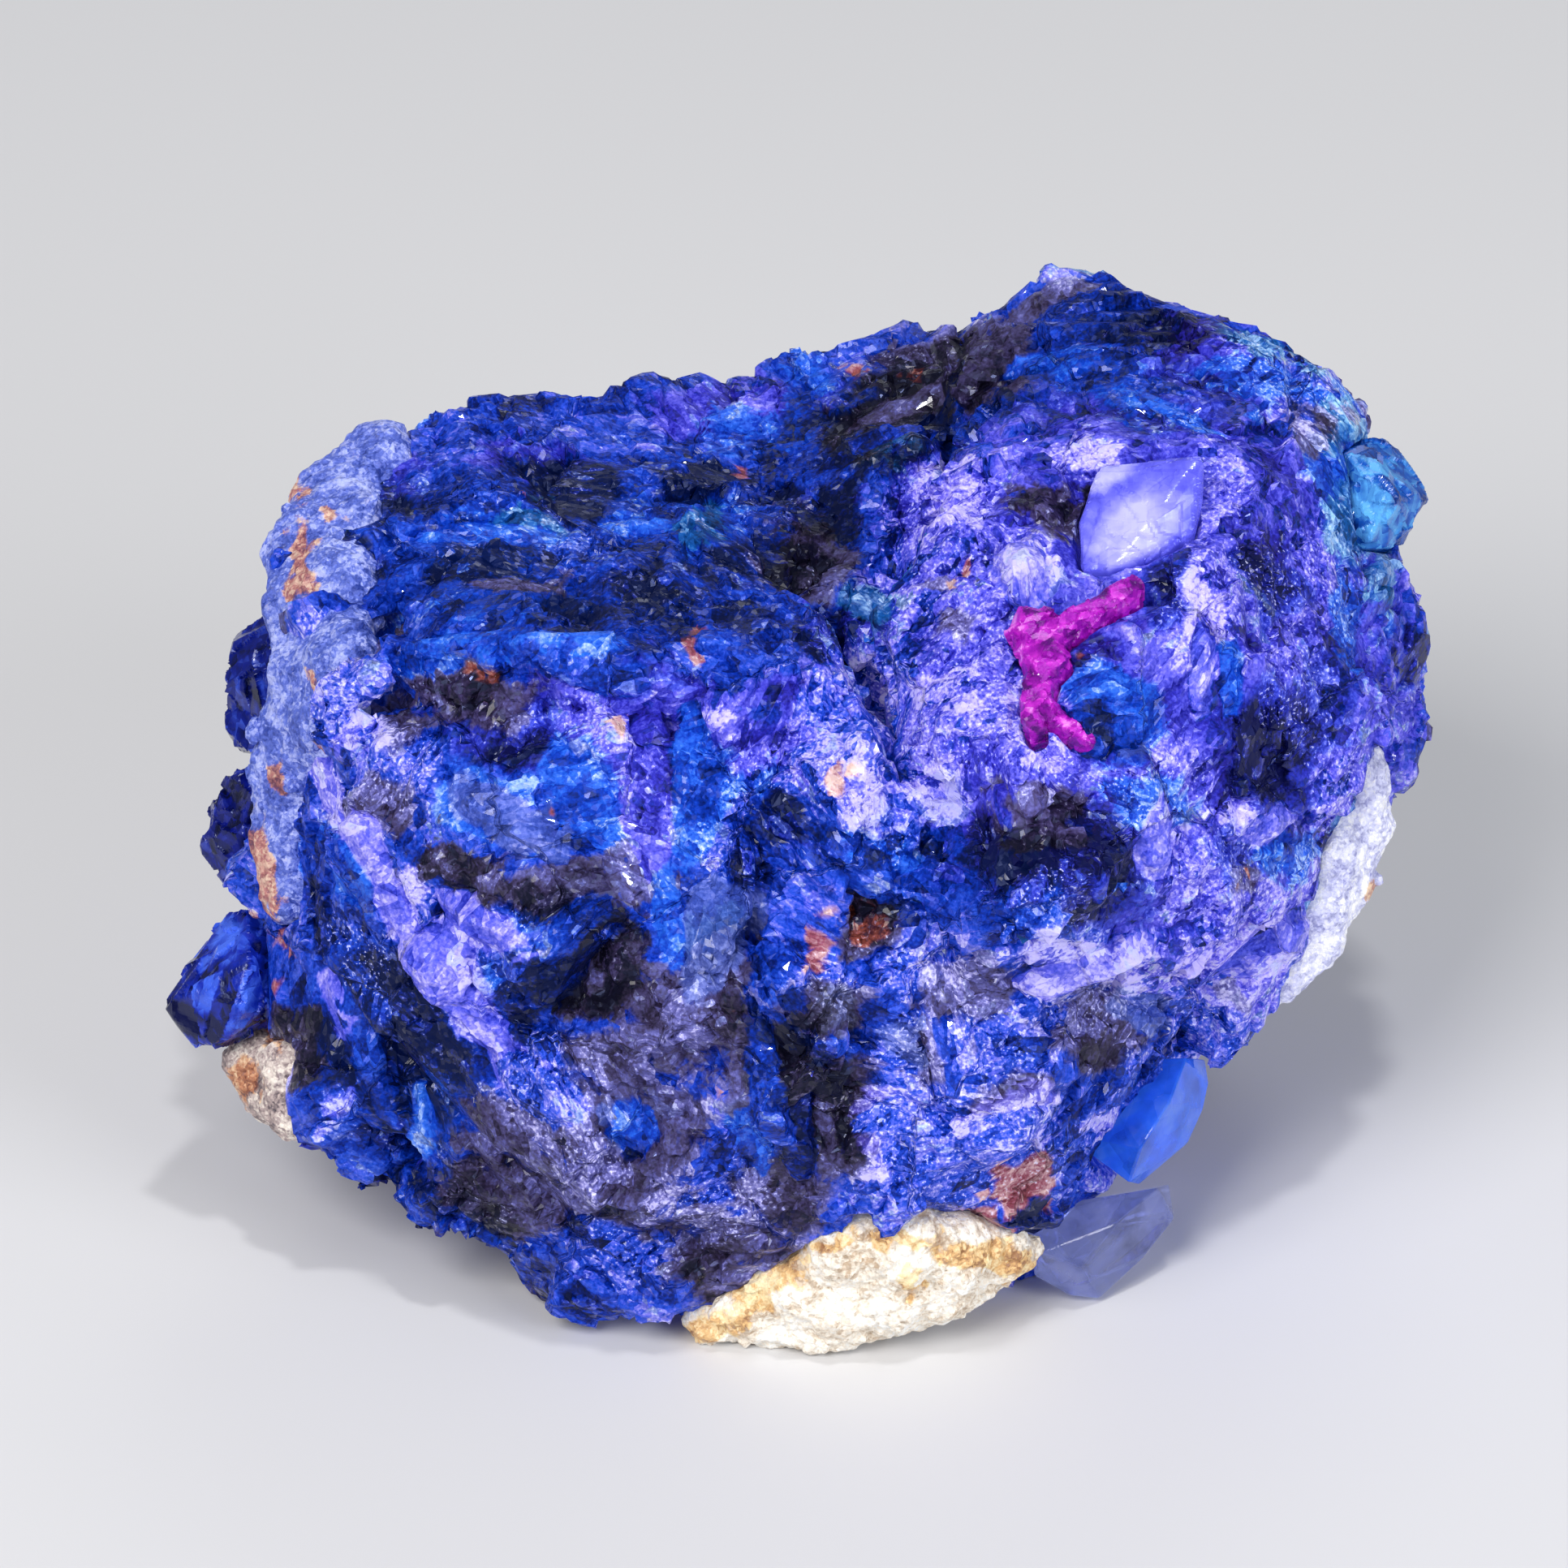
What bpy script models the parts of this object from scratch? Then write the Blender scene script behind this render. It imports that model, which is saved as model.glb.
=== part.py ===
# Fluorite cluster: a rough mass of blue and violet fluorite with flat-faced crystals of its own set in
# it, pale crusts along two of its edges and a little cream quartz matrix under its foot.
# Metres, +Z up, with the specimen's face towards -Y. The origin is the middle of its box, on the table.

import math

import bmesh
import bpy
import numpy as np
from mathutils import Matrix, Vector
from mathutils.bvhtree import BVHTree

MM = 0.001

# Every form is set out as the eye sees the specimen, from its front and this far above the table:
# millimetres to the right of the middle, millimetres up, and millimetres nearer to the eye.
EYE_TILT = math.radians(30)
EYE_DISTANCE = 483.0

# The foot is the flat spot that the specimen rests on, this far below the middle.
FOOT_LEVEL = -23.4 * MM

# A crystal or a crust sits in a socket of its own shape, with this much room on each side.
SOCKET_GAP = 0.3 * MM

# The mass is broken along cleavage planes into ledges that stand out of it, and into hollows. Each kind
# has how many would go round the whole mass, the part of it that they are kept on, from 1 for straight
# towards the eye to -1 for straight away, their sizes, and how far their tops stand out.
SCATTERED = {
    "face_ledge": (112, (0.0, 1.0), (4.4 * MM, 8.4 * MM), (0.1 * MM, 1.1 * MM)),
    "side_ledge": (92, (-0.45, 0.0), (4.4 * MM, 8.4 * MM), (0.1 * MM, 1.1 * MM)),
    "back_ledge": (76, (-1.0, -0.45), (8.0 * MM, 13.0 * MM), (0.6 * MM, 2.4 * MM)),
    "face_hollow": (16, (0.0, 1.0), (4.0 * MM, 7.0 * MM), (-1.0 * MM, -0.4 * MM)),
    "back_hollow": (22, (-1.0, 0.0), (5.0 * MM, 9.0 * MM), (-1.0 * MM, 0.0 * MM)),
}
LEDGE_TIP = math.radians(20)
LEDGE_SEED = 17

# No scattered ledge starts within this far of these places on the face: right, up and radius.
KEPT_CLEAR = [(14.6, 7.6, 4.6), (18.4, 11.0, 2.6), (18.6, 15.4, 4.6), (2.6, 9.4, 3.4), (4.0, -26.0, 5.0)]

# Two corners nearer than this after carving are one corner, and flatter joints than this are one face.
MERGE_WITHIN = 0.03 * MM
FLAT_WITHIN = math.radians(0.5)


def seen(right, up, near):
    """A place as the eye sees it, in millimetres, turned into the specimen's own frame."""
    narrowed = 1 - near / EYE_DISTANCE
    right *= narrowed
    up *= narrowed
    y = up * math.sin(EYE_TILT) - near * math.cos(EYE_TILT)
    z = up * math.cos(EYE_TILT) + near * math.sin(EYE_TILT)
    return Vector((right, y, z)) * MM


TO_EYE = seen(0, 0, 1).normalized()


def clear_scene():
    for obj in list(bpy.data.objects):
        bpy.data.objects.remove(obj)


def new_collection(name, hidden=False):
    collection = bpy.data.collections.new(name)
    collection.hide_render = hidden
    bpy.context.scene.collection.children.link(collection)
    return collection


def add_object(name, bm, collection):
    bmesh.ops.recalc_face_normals(bm, faces=bm.faces[:])
    mesh = bpy.data.meshes.new(name)
    bm.to_mesh(mesh)
    bm.free()
    obj = bpy.data.objects.new(name, mesh)
    collection.objects.link(obj)
    return obj


def add_helper(name, bm, collection):
    """A shape that others are joined to or carved with: drawn as wires and left out of renders."""
    obj = add_object(name, bm, collection)
    obj.hide_render = True
    obj.display_type = "WIRE"
    return obj


def stone_material(name, colour, roughness):
    material = bpy.data.materials.new(name)
    material.use_nodes = True
    shader = material.node_tree.nodes["Principled BSDF"]
    shader.inputs["Base Color"].default_value = (*colour, 1)
    shader.inputs["Roughness"].default_value = roughness
    shader.inputs["Metallic"].default_value = 0
    return material


# Flat-faced solids


def hull(corners):
    """The flat-faced solid that its corners span."""
    bm = bmesh.new()
    for corner in corners:
        bm.verts.new(corner)
    made = bmesh.ops.convex_hull(bm, input=bm.verts[:])
    spare = {item for item in made["geom_interior"] + made["geom_unused"] if isinstance(item, bmesh.types.BMVert)}
    bmesh.ops.delete(bm, geom=list(spare), context="VERTS")
    bmesh.ops.recalc_face_normals(bm, faces=bm.faces[:])
    return bm


def grow(bm, room):
    """Grows a convex solid about its middle, so that every face moves out by room or a little more."""
    if room:
        middle = sum((vert.co for vert in bm.verts), Vector()) / len(bm.verts)
        nearest = min(abs((face.verts[0].co - middle).dot(face.normal)) for face in bm.faces)
        for vert in bm.verts:
            vert.co = middle + (vert.co - middle) * (1 + room / nearest)
    return bm


def cleave(bm, normal, distance):
    """Splits a block along one plane and keeps the side of its middle, with the new face closed."""
    everything = bm.verts[:] + bm.edges[:] + bm.faces[:]
    cut = bmesh.ops.bisect_plane(
        bm, geom=everything, dist=1e-7, plane_co=normal * distance, plane_no=normal, clear_outer=True
    )
    rim = [edge for edge in cut["geom_cut"] if isinstance(edge, bmesh.types.BMEdge)]
    if rim:
        bmesh.ops.contextual_create(bm, geom=rim)


def cleavage_block(rng, size):
    """A broken slab that has lost some of its upper corners along slanting cleavage planes."""
    bm = bmesh.new()
    bmesh.ops.create_cube(bm, size=size)
    bmesh.ops.scale(bm, vec=(rng.uniform(1.0, 1.6), rng.uniform(0.6, 0.95), 0.7), verts=bm.verts)
    corners = [(x, y, 1) for x in (-1, 1) for y in (-1, 1)]
    sides = [(-1, 0, 1), (1, 0, 1), (0, -1, 1), (0, 1, 1)]
    for normal in [corners[i] for i in rng.permutation(4)[:2]] + [sides[i] for i in rng.permutation(4)[:2]]:
        cleave(bm, Vector(normal).normalized(), size * rng.uniform(0.36, 0.56))
    return bm


# The mass

# The block under the dark shelf, on the left. Its flat top runs back from the ridge to the rim.
LEFT_BLOCK = [
    (-22.6, 20.6, -4.0), (-27.6, 15.2, 0.0), (-19.4, 20.8, -8.0), (-14.6, 21.2, -11.0), (-12.2, 22.4, -11.5),
    (-7.9, 23.2, -12.5), (-4.6, 23.8, -13.0), (-24.6, 7.4, 12.0), (-15.1, 8.8, 15.0), (-4.0, 7.6, 15.5),
    (0.7, 6.6, 14.5), (-0.5, 13.5, 3.0), (-28.6, 9.5, 3.0), (-29.4, 1.8, 3.0), (-29.8, -4.5, 3.0),
    (-29.6, -10.8, 2.5), (-29.0, -17.4, 1.5), (-23.5, -20.8, 2.5), (-17.6, -24.0, 3.5), (-11.5, -27.2, 4.5),
    (-22.7, -2.7, 14.0), (-12.8, -7.2, 17.5), (-3.8, -13.9, 16.5), (-15.1, -18.4, 11.0), (-6.1, -22.9, 11.0),
    (-17.3, -0.4, -18.0), (-12.8, 13.1, -19.0), (-8.3, -11.7, -13.0), (-26.3, -4.9, -9.0), (-26.0, 8.0, -10.0),
]

# The taller block on the right. It bulges most towards the eye, and its crest runs along the rim.
RIGHT_BLOCK = [
    (15.5, 28.6, -12.0), (12.2, 26.6, -13.0), (21.4, 27.6, -10.0), (25.4, 26.6, -9.0), (30.3, 23.8, -7.0),
    (32.6, 18.4, -5.0), (33.4, 12.0, -3.0), (34.6, 8.0, -3.0), (34.4, 3.6, -3.0), (32.4, 0.6, -2.0),
    (30.6, -5.4, -0.5), (29.4, -8.2, -0.5), (27.0, -10.8, 0.0), (22.6, -13.2, -1.0),
    (7.6, 14.6, 11.0), (5.8, 6.3, 15.5), (11.9, 1.8, 21.5), (18.7, 8.6, 18.5), (23.2, 14.0, 13.5),
    (18.7, 22.0, 4.0), (9.9, 20.0, 3.0), (27.7, 4.1, 12.0), (18.7, -4.9, 17.5), (25.4, -6.3, 9.0),
    (9.7, -9.4, 17.5), (14.2, 15.3, -22.0), (23.2, 4.1, -17.0), (5.2, -4.9, -20.0), (23.2, -7.2, -10.0),
    (27.5, 16.0, -14.0), (4.5, 8.0, -21.0),
]

# The lower block carries both at the front, down to the matrix.
LOWER_BLOCK = [
    (2.6, 5.6, 15.6), (3.4, 2.0, 17.6), (0.7, -0.4, 17.4), (14.2, -13.9, 14.5), (20.9, -12.6, 6.0),
    (18.6, -19.6, 0.0), (13.8, -23.8, 1.0), (8.8, -25.0, 4.0), (2.0, -26.4, 6.0), (-6.3, -28.6, 5.0),
    (5.2, -22.0, 12.0), (-3.8, -16.2, 16.0), (11.9, -19.3, 12.0), (14.2, -8.7, -16.0), (-3.8, -8.9, -16.0),
    (0.7, -0.4, -20.0), (-12.0, -25.3, -3.2), (13.5, -26.2, -1.6), (13.0, -16.6, -19.0), (-9.0, -16.6, -19.0),
]

# The floor of the valley between the shelf and the crest, which ends at a dark pocket in front.
VALLEY_FLOOR = [
    (-3.2, 23.4, -13.5), (0.3, 25.2, -14.0), (4.4, 26.3, -14.5), (10.8, 26.6, -14.5), (-5.0, 20.0, -9.0),
    (1.0, 17.5, -2.0), (7.6, 20.0, -3.0), (4.6, 11.4, 5.0), (1.6, 9.2, 7.0), (7.0, 8.0, 8.0), (8.0, 10.0, -20.0),
    (-2.0, 10.0, -20.0), (0.0, 0.0, -10.0),
]

# The core fills the back between the blocks and spreads into the broad foot.
CORE = [
    (-26.0, 13.5, -7.0), (-17.5, 19.0, -12.5), (-7.5, 21.6, -16.0), (1.0, 23.6, -18.0), (9.0, 24.6, -18.5),
    (17.0, 26.0, -17.0), (25.0, 24.0, -14.5), (30.5, 19.0, -11.5), (32.4, 11.0, -10.0), (32.0, 3.0, -10.5),
    (28.4, -6.4, -9.0), (23.0, -11.0, -9.0), (18.6, -17.0, -12.0), (10.0, -24.0, -7.0), (-2.0, -26.2, -3.0),
    (-13.0, -23.0, -6.5), (-23.0, -18.0, -9.0), (-27.6, -13.0, -5.0), (-28.4, -3.0, -6.0), (-27.6, 6.0, -7.0),
    (-19.0, 4.0, -21.0), (-10.0, 11.0, -24.0), (4.0, 13.0, -26.0), (18.0, 12.0, -24.0), (25.6, 2.0, -20.0),
    (19.0, -9.0, -22.0), (4.0, -12.4, -26.6), (-13.0, -11.0, -23.0), (12.0, -15.6, -21.4), (-8.0, -16.6, -19.6),
]

# The crest stands above the right block, with its top a little left of the block's middle.
CREST = [
    (15.2, 30.1, -11.0), (12.4, 28.6, -12.0), (18.4, 28.4, -11.0), (8.0, 23.6, -8.0), (9.4, 19.2, 1.0),
    (16.0, 24.5, -2.0), (21.0, 27.8, -8.5), (13.0, 22.0, -16.0), (18.0, 20.0, -14.0),
]

# Ridges of the face that the eye picks out, each a block laid on the surface: its middle, its length,
# width and height in millimetres, and the way it runs, in degrees from level.
FACE_RIDGES = [
    (-19.6, -9.6, 8.0, 2.6, 1.6, -56), (-16.6, -6.6, 6.0, 2.6, 1.4, -12), (-5.0, -4.0, 15.0, 4.4, 1.5, -84),
    (-16.4, -0.6, 6.6, 4.0, 1.4, -32), (-14.2, -9.8, 6.0, 2.6, 1.2, 48), (-13.0, 8.2, 15.0, 3.2, 1.6, -6),
    (-24.8, 6.4, 8.0, 3.2, 1.4, 28), (-2.6, 6.4, 8.6, 3.2, 1.6, -10), (8.9, 3.0, 6.4, 4.6, 1.4, 24),
    (7.8, 12.4, 10.0, 3.6, 1.7, 62), (12.8, 12.8, 4.6, 3.2, 1.4, 74), (23.6, 10.4, 9.6, 2.8, 1.4, -72),
    (26.0, 6.0, 8.4, 3.0, 1.4, -60), (14.6, -9.0, 10.0, 4.0, 1.6, 26), (20.8, -7.4, 8.6, 3.6, 1.4, 34),
    (10.6, -17.2, 8.2, 4.4, 1.5, 30), (3.4, -19.4, 7.4, 3.8, 1.4, 76), (0.4, -11.8, 9.6, 3.2, 1.5, -68),
    (-10.4, -20.6, 9.0, 3.4, 1.3, -24), (11.6, 24.2, 10.4, 3.4, 1.6, 48), (24.0, 24.4, 9.0, 3.4, 1.4, -16),
    (-19.6, 15.8, 8.6, 3.2, 1.1, 30), (-8.8, 17.6, 10.0, 3.2, 1.2, 14), (-8.0, 12.2, 8.6, 2.8, 1.0, -18),
    (28.4, 12.8, 7.6, 2.8, 1.4, -66), (16.6, 18.6, 8.6, 3.2, 1.3, 22),
]

# Pits of the face, set out in the same way, with their depth for a height.
FACE_PITS = [
    (-10.4, -8.6, 7.4, 4.4, 2.2, 52), (-22.2, -15.0, 9.0, 5.2, 1.8, -58), (2.6, 9.6, 4.4, 3.4, 3.4, 40),
    (11.4, -5.6, 9.4, 4.0, 2.4, 12), (3.0, -5.6, 4.8, 3.0, 2.0, 70), (26.2, 2.4, 6.0, 4.4, 2.0, -30),
    (-8.0, 4.4, 7.0, 3.4, 1.8, -20), (-14.6, 5.0, 5.2, 2.8, 1.6, 10), (-27.4, -12.6, 3.8, 3.2, 2.0, 35),
    (-1.8, -8.2, 6.4, 2.4, 1.8, -80), (16.6, 7.2, 3.6, 2.8, 1.8, 20), (1.2, -17.4, 6.0, 2.8, 1.6, -64),
    (21.6, -1.2, 6.6, 2.8, 1.8, 62), (-22.6, 11.0, 7.4, 3.0, 1.2, 24),
]


def skin_of(objects):
    """The joined surface of some solids, to lay smaller forms on."""
    corners, faces = [], []
    for obj in objects:
        start = len(corners)
        corners += [vert.co.copy() for vert in obj.data.vertices]
        faces += [[start + i for i in face.vertices] for face in obj.data.polygons]
    return BVHTree.FromPolygons(corners, faces)


def on_face(skin, right, up):
    """Where the eye's line through a place meets the surface, and the way that the surface faces there."""
    start = seen(right, up, 100)
    point, normal, _, _ = skin.ray_cast(start, (seen(right, up, -100) - start).normalized())
    return (point, normal) if point else (seen(right, up, 0), TO_EYE)


def laid_block(rng, skin, form, hollow=False):
    """A block laid on the face with its long way as the form says. A ridge narrows out, a pit in."""
    right, up, length, width, height, run = form
    point, normal = on_face(skin, right, up)
    out = (normal * 2 + TO_EYE).normalized()
    along = seen(math.cos(math.radians(run)), math.sin(math.radians(run)), 0).normalized()
    along = (along - out * along.dot(out)).normalized()
    axes = Matrix((along, out.cross(along), out)).transposed().to_4x4()
    corners = []
    for count, level, spread in ((7, -1, 1.1), (4, 1, 0.6)):
        for index in range(count):
            turn = 2 * math.pi * (index + rng.uniform(-0.3, 0.3)) / count
            reach = spread * rng.uniform(0.8, 1.15)
            corner = Vector((math.cos(turn) * reach * length / 2, math.sin(turn) * reach * width / 2, 0))
            corner.z = level * height * rng.uniform(0.7, 1.1) * (-1 if hollow else 1)
            corners.append(corner * MM)
    solid = hull(corners)
    solid.transform(Matrix.Translation(point) @ axes)
    return solid


def scattered_directions(rng, count):
    """Directions spread evenly over a ball, each a little out of its place."""
    golden_angle = math.pi * (3 - math.sqrt(5))
    for index in range(count):
        height = 1 - 2 * (index + 0.5) / count
        radius = math.sqrt(1 - height * height)
        turn = golden_angle * index
        direction = Vector((radius * math.cos(turn), radius * math.sin(turn), height))
        yield (direction + Vector(rng.normal(size=3)) * 0.06).normalized()


def scatter_blocks(rng, skin, collection, name):
    """Cleavage blocks over one part of the surface. Each lies along it, tipped a little out of line."""
    count, (least, most), sizes, proud = SCATTERED[name]
    clear = [(on_face(skin, right, up)[0], radius * MM) for right, up, radius in KEPT_CLEAR]
    for index, direction in enumerate(scattered_directions(rng, count)):
        point, normal, _, _ = skin.ray_cast(direction * 150 * MM, -direction)
        if point is None or not least < direction.dot(TO_EYE) <= most:
            continue
        size = rng.uniform(*sizes)
        if any((point - place).length < radius for place, radius in clear):
            continue
        tip_axis = normal.orthogonal().normalized()
        tip_axis.rotate(Matrix.Rotation(rng.uniform(0, 2 * math.pi), 3, normal))
        out = Matrix.Rotation(rng.uniform(0.3, 1.0) * LEDGE_TIP, 3, tip_axis) @ normal
        turn = out.to_track_quat("Z", "X").to_matrix().to_4x4() @ Matrix.Rotation(rng.uniform(0, math.pi), 4, "Z")
        bm = cleavage_block(rng, size)
        bm.transform(Matrix.Translation(point + out * (rng.uniform(*proud) - size * 0.35)) @ turn)
        add_helper(f"{name}_{index:03d}", bm, collection)


# The crystals that sit in the mass

# Each crystal is the solid that its corners span. Its last corners are its root, inside the mass.
CRYSTALS = {
    "pointed_crystal": [
        (-35.1, -10.9, 0.6), (-31.6, -6.0, -0.5), (-30.6, -6.1, 0.8), (-30.5, -8.6, 3.6), (-30.8, -11.4, 3.8),
        (-33.0, -10.4, 2.9), (-34.3, -12.1, 0.2), (-33.3, -13.3, 0.8), (-32.2, -13.3, 2.0),
        (-27.5, -7.5, -1.0), (-27.5, -11.5, -1.0), (-29.5, -9.5, -4.0), (-32.0, -12.4, -3.2), (-32.0, -7.2, -3.2),
    ],
    "upper_left_crystal": [
        (-31.6, 6.6, -4.0), (-30.9, 9.7, -5.0), (-31.4, 3.2, -4.0), (-29.6, 10.6, -4.0), (-29.0, 7.0, -1.2),
        (-29.2, 2.8, -1.8), (-25.0, 8.5, -7.0), (-25.0, 3.0, -7.0), (-30.4, 7.0, -9.0), (-30.2, 3.4, -8.2),
    ],
    "lower_left_crystal": [
        (-32.9, -2.5, -3.6), (-32.6, -0.2, -4.0), (-31.2, 2.0, -4.0), (-31.5, -4.4, -3.0), (-30.0, 0.2, -0.9),
        (-30.2, -3.6, -0.9), (-26.0, 0.5, -6.0), (-26.0, -4.0, -5.5), (-31.4, -0.6, -7.6), (-31.2, -3.6, -6.6),
    ],
    "teal_crystal": [
        (34.6, 17.0, -4.0), (33.8, 18.6, -5.0), (32.4, 20.3, -5.4), (33.5, 14.4, -3.0), (31.2, 19.2, -1.2),
        (31.6, 14.6, 0.6), (32.6, 17.0, 0.6), (27.5, 19.0, -7.0), (28.5, 14.0, -6.0), (32.4, 17.2, -9.0),
    ],
    "blue_crystal": [
        (21.3, -14.2, 3.6), (20.4, -16.6, 5.2), (18.9, -19.0, 5.6), (18.3, -20.8, 4.2), (22.3, -14.3, 0.0),
        (22.5, -15.5, 0.4), (22.2, -16.9, 0.8), (21.4, -18.7, 1.0), (20.3, -19.6, 1.2), (18.8, -20.9, 1.4),
        (20.4, -14.2, -4.0), (20.4, -18.0, -3.6), (17.6, -19.2, -3.0), (16.0, -14.5, 1.0), (14.8, -18.2, 1.5),
    ],
    "clear_crystal": [
        (19.7, -21.4, 2.2), (17.6, -23.2, 3.8), (15.6, -25.6, 3.6), (13.4, -24.8, 3.6), (20.3, -21.2, 0.0),
        (20.6, -23.0, 0.2), (18.9, -25.1, 0.6), (16.6, -27.2, 1.2), (15.0, -27.0, 1.4), (13.2, -26.0, 2.0),
        (18.6, -21.9, -4.0), (18.6, -23.8, -3.0), (15.0, -24.9, -2.4), (13.6, -22.4, -1.0), (12.6, -23.0, 0.4),
    ],
}

# The tabular crystal lies on the face: the outline of its flat top, then of the slope below it, each
# corner with how far it stands out, and the middle that its root narrows to.
TABLET_CORNERS = [
    (21.7, 18.8, -0.7), (21.2, 14.8, 0.9), (17.0, 12.9, 1.9), (15.4, 12.6, 1.6), (15.2, 15.2, 0.6), (16.4, 18.2, -0.8),
    (21.6, 16.5, -0.4), (20.9, 13.6, -0.1), (18.6, 11.9, 0.5), (16.2, 11.4, 0.6),
]
TABLET_MIDDLE = (18.6, 15.2)
TABLET_ROOT = (0.8, 3.0)

# The small pink crystals grew into one another. Each runs between two places on the face, with a
# width at each end and the height that it stands out.
PINK_CRYSTALS = [
    ((13.0, 9.6), (13.9, 7.3), 2.6, 2.1, 1.3),
    ((14.2, 9.0), (18.6, 11.4), 1.1, 0.8, 1.3),
    ((13.4, 7.6), (13.3, 5.6), 1.5, 1.3, 0.9),
    ((13.1, 6.2), (13.0, 4.2), 1.2, 0.9, 0.8),
    ((13.2, 5.4), (15.6, 3.5), 1.1, 0.7, 0.8),
]


def crystal(name, room=0.0):
    return grow(hull(seen(*corner) for corner in CRYSTALS[name]), room)


def tablet(skin, room=0.0):
    point, _ = on_face(skin, *TABLET_MIDDLE)
    shrink, depth = TABLET_ROOT
    root = [(right * shrink + TABLET_MIDDLE[0] * (1 - shrink), up * shrink + TABLET_MIDDLE[1] * (1 - shrink), -depth)
            for right, up, _ in TABLET_CORNERS]
    corners = []
    for right, up, proud in TABLET_CORNERS + root:
        place = seen(right, up, 0)
        corners.append(place + TO_EYE * ((point - place).dot(TO_EYE) + proud * MM))
    return grow(hull(corners), room)


def pink_crystals(skin, room=0.0):
    for first, last, first_width, last_width, height in PINK_CRYSTALS:
        corners = []
        for place, other, width in ((first, last, first_width), (last, first, last_width)):
            point, normal = on_face(skin, *place)
            along = seen(place[0] - other[0], place[1] - other[1], 0).normalized()
            across = along.cross(normal).normalized() * width * MM / 2
            top = point + normal * height * MM
            shoulder = top - normal * 0.45 * MM
            root = point - normal * 1.6 * MM
            corners += [top + across * 0.5, top - across * 0.5, shoulder + across, shoulder - across]
            corners += [shoulder + along * width * 0.35 * MM, root + across * 0.7, root - across * 0.7]
        yield grow(hull(corners), room)


# The crusts and the matrix

# Each is a patch of low lumps, given by their middles on the face and their radii.
LUMP_RUNS = {
    "left_crust": [
        (-23.6, 19.2, 2.7), (-25.8, 17.0, 2.9), (-27.2, 14.0, 3.0), (-25.0, 15.2, 2.6), (-27.4, 10.6, 3.0),
        (-25.4, 12.2, 2.4), (-27.2, 7.2, 3.0), (-25.6, 8.2, 2.4), (-28.0, 4.0, 2.8), (-26.4, 4.6, 2.3),
        (-28.4, 1.0, 2.6), (-28.8, -2.0, 2.4), (-28.4, -4.6, 2.1),
    ],
    "left_matrix": [
        (-30.2, -14.0, 2.0), (-29.3, -15.7, 2.1), (-28.2, -17.0, 1.8), (-28.6, -14.6, 1.7),
    ],
    "right_crust": [
        (31.2, 1.4, 2.3), (31.1, -1.2, 2.4), (29.8, -2.6, 2.0), (30.2, -4.4, 2.4), (28.8, -6.0, 2.1),
        (28.6, -7.6, 2.2), (27.0, -9.4, 1.9),
    ],
    "foot_matrix": [
        (2.4, -24.6, 2.3), (5.4, -24.4, 2.5), (8.6, -24.9, 2.3), (11.4, -25.0, 1.6), (-0.4, -26.8, 2.0),
        (2.0, -28.0, 1.9), (5.2, -27.2, 2.3), (8.0, -27.0, 1.8), (-3.0, -28.0, 1.6), (-5.2, -28.7, 1.2),
    ],
}
LUMP_SUNK = 0.3
LUMP_LOWERED = 0.15
LUMP_KNOBS = 13
LUMP_SEED = 5

# A slab of matrix under the lumps of the foot joins them to what the specimen rests on.
FOOT_SLAB = [
    (-6.4, -29.4, 4.4), (-2.0, -26.6, 7.2), (1.1, -24.6, 9.6), (3.4, -23.0, 11.2), (7.0, -22.9, 10.8),
    (9.6, -23.8, 9.0), (13.8, -24.6, 4.6), (12.4, -26.0, 4.2), (9.8, -27.3, 4.8), (8.4, -28.6, 5.0),
    (3.0, -29.6, 5.4), (1.9, -30.4, 5.8), (-0.4, -29.8, 5.4), (-3.0, -29.0, 5.6), (-4.0, -27.0, 0.0),
    (10.0, -23.5, 0.0), (4.0, -21.5, 5.0),
]


def foot_slab(room=0.0):
    return grow(hull(seen(*corner) for corner in FOOT_SLAB), room)


def lumps(name, skin, room=0.0):
    """The knobbly lumps of one crust, lowered and partly sunk into the surface that they lie on."""
    if name == "foot_matrix":
        yield foot_slab(room)
        skin = BVHTree.FromBMesh(foot_slab())
    for index, (right, up, radius) in enumerate(LUMP_RUNS[name]):
        rng = np.random.default_rng(LUMP_SEED + index)
        point, normal = on_face(skin, right, up)
        out = (normal + TO_EYE).normalized()
        middle = point - out * radius * LUMP_SUNK * MM
        knobs = [direction * rng.uniform(0.9, 1.16) for direction in scattered_directions(rng, LUMP_KNOBS)]
        yield hull(middle + (knob - out * knob.dot(out) * LUMP_LOWERED) * (radius * MM + room) for knob in knobs)


# Joining and carving


def keep_largest(bm):
    """Drops the crumbs that carving has cut loose, or that hang on by a corner."""
    left = set(bm.faces)
    bodies = []
    while left:
        body, to_visit = set(), [next(iter(left))]
        while to_visit:
            face = to_visit.pop()
            if face not in body:
                body.add(face)
                joints = [edge for edge in face.edges if len(edge.link_faces) == 2]
                to_visit += [other for edge in joints for other in edge.link_faces]
        left -= body
        bodies.append(body)
    bodies.sort(key=len)
    spare = [face for body in bodies[:-1] for face in body]
    bmesh.ops.delete(bm, geom=spare, context="FACES")


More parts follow.
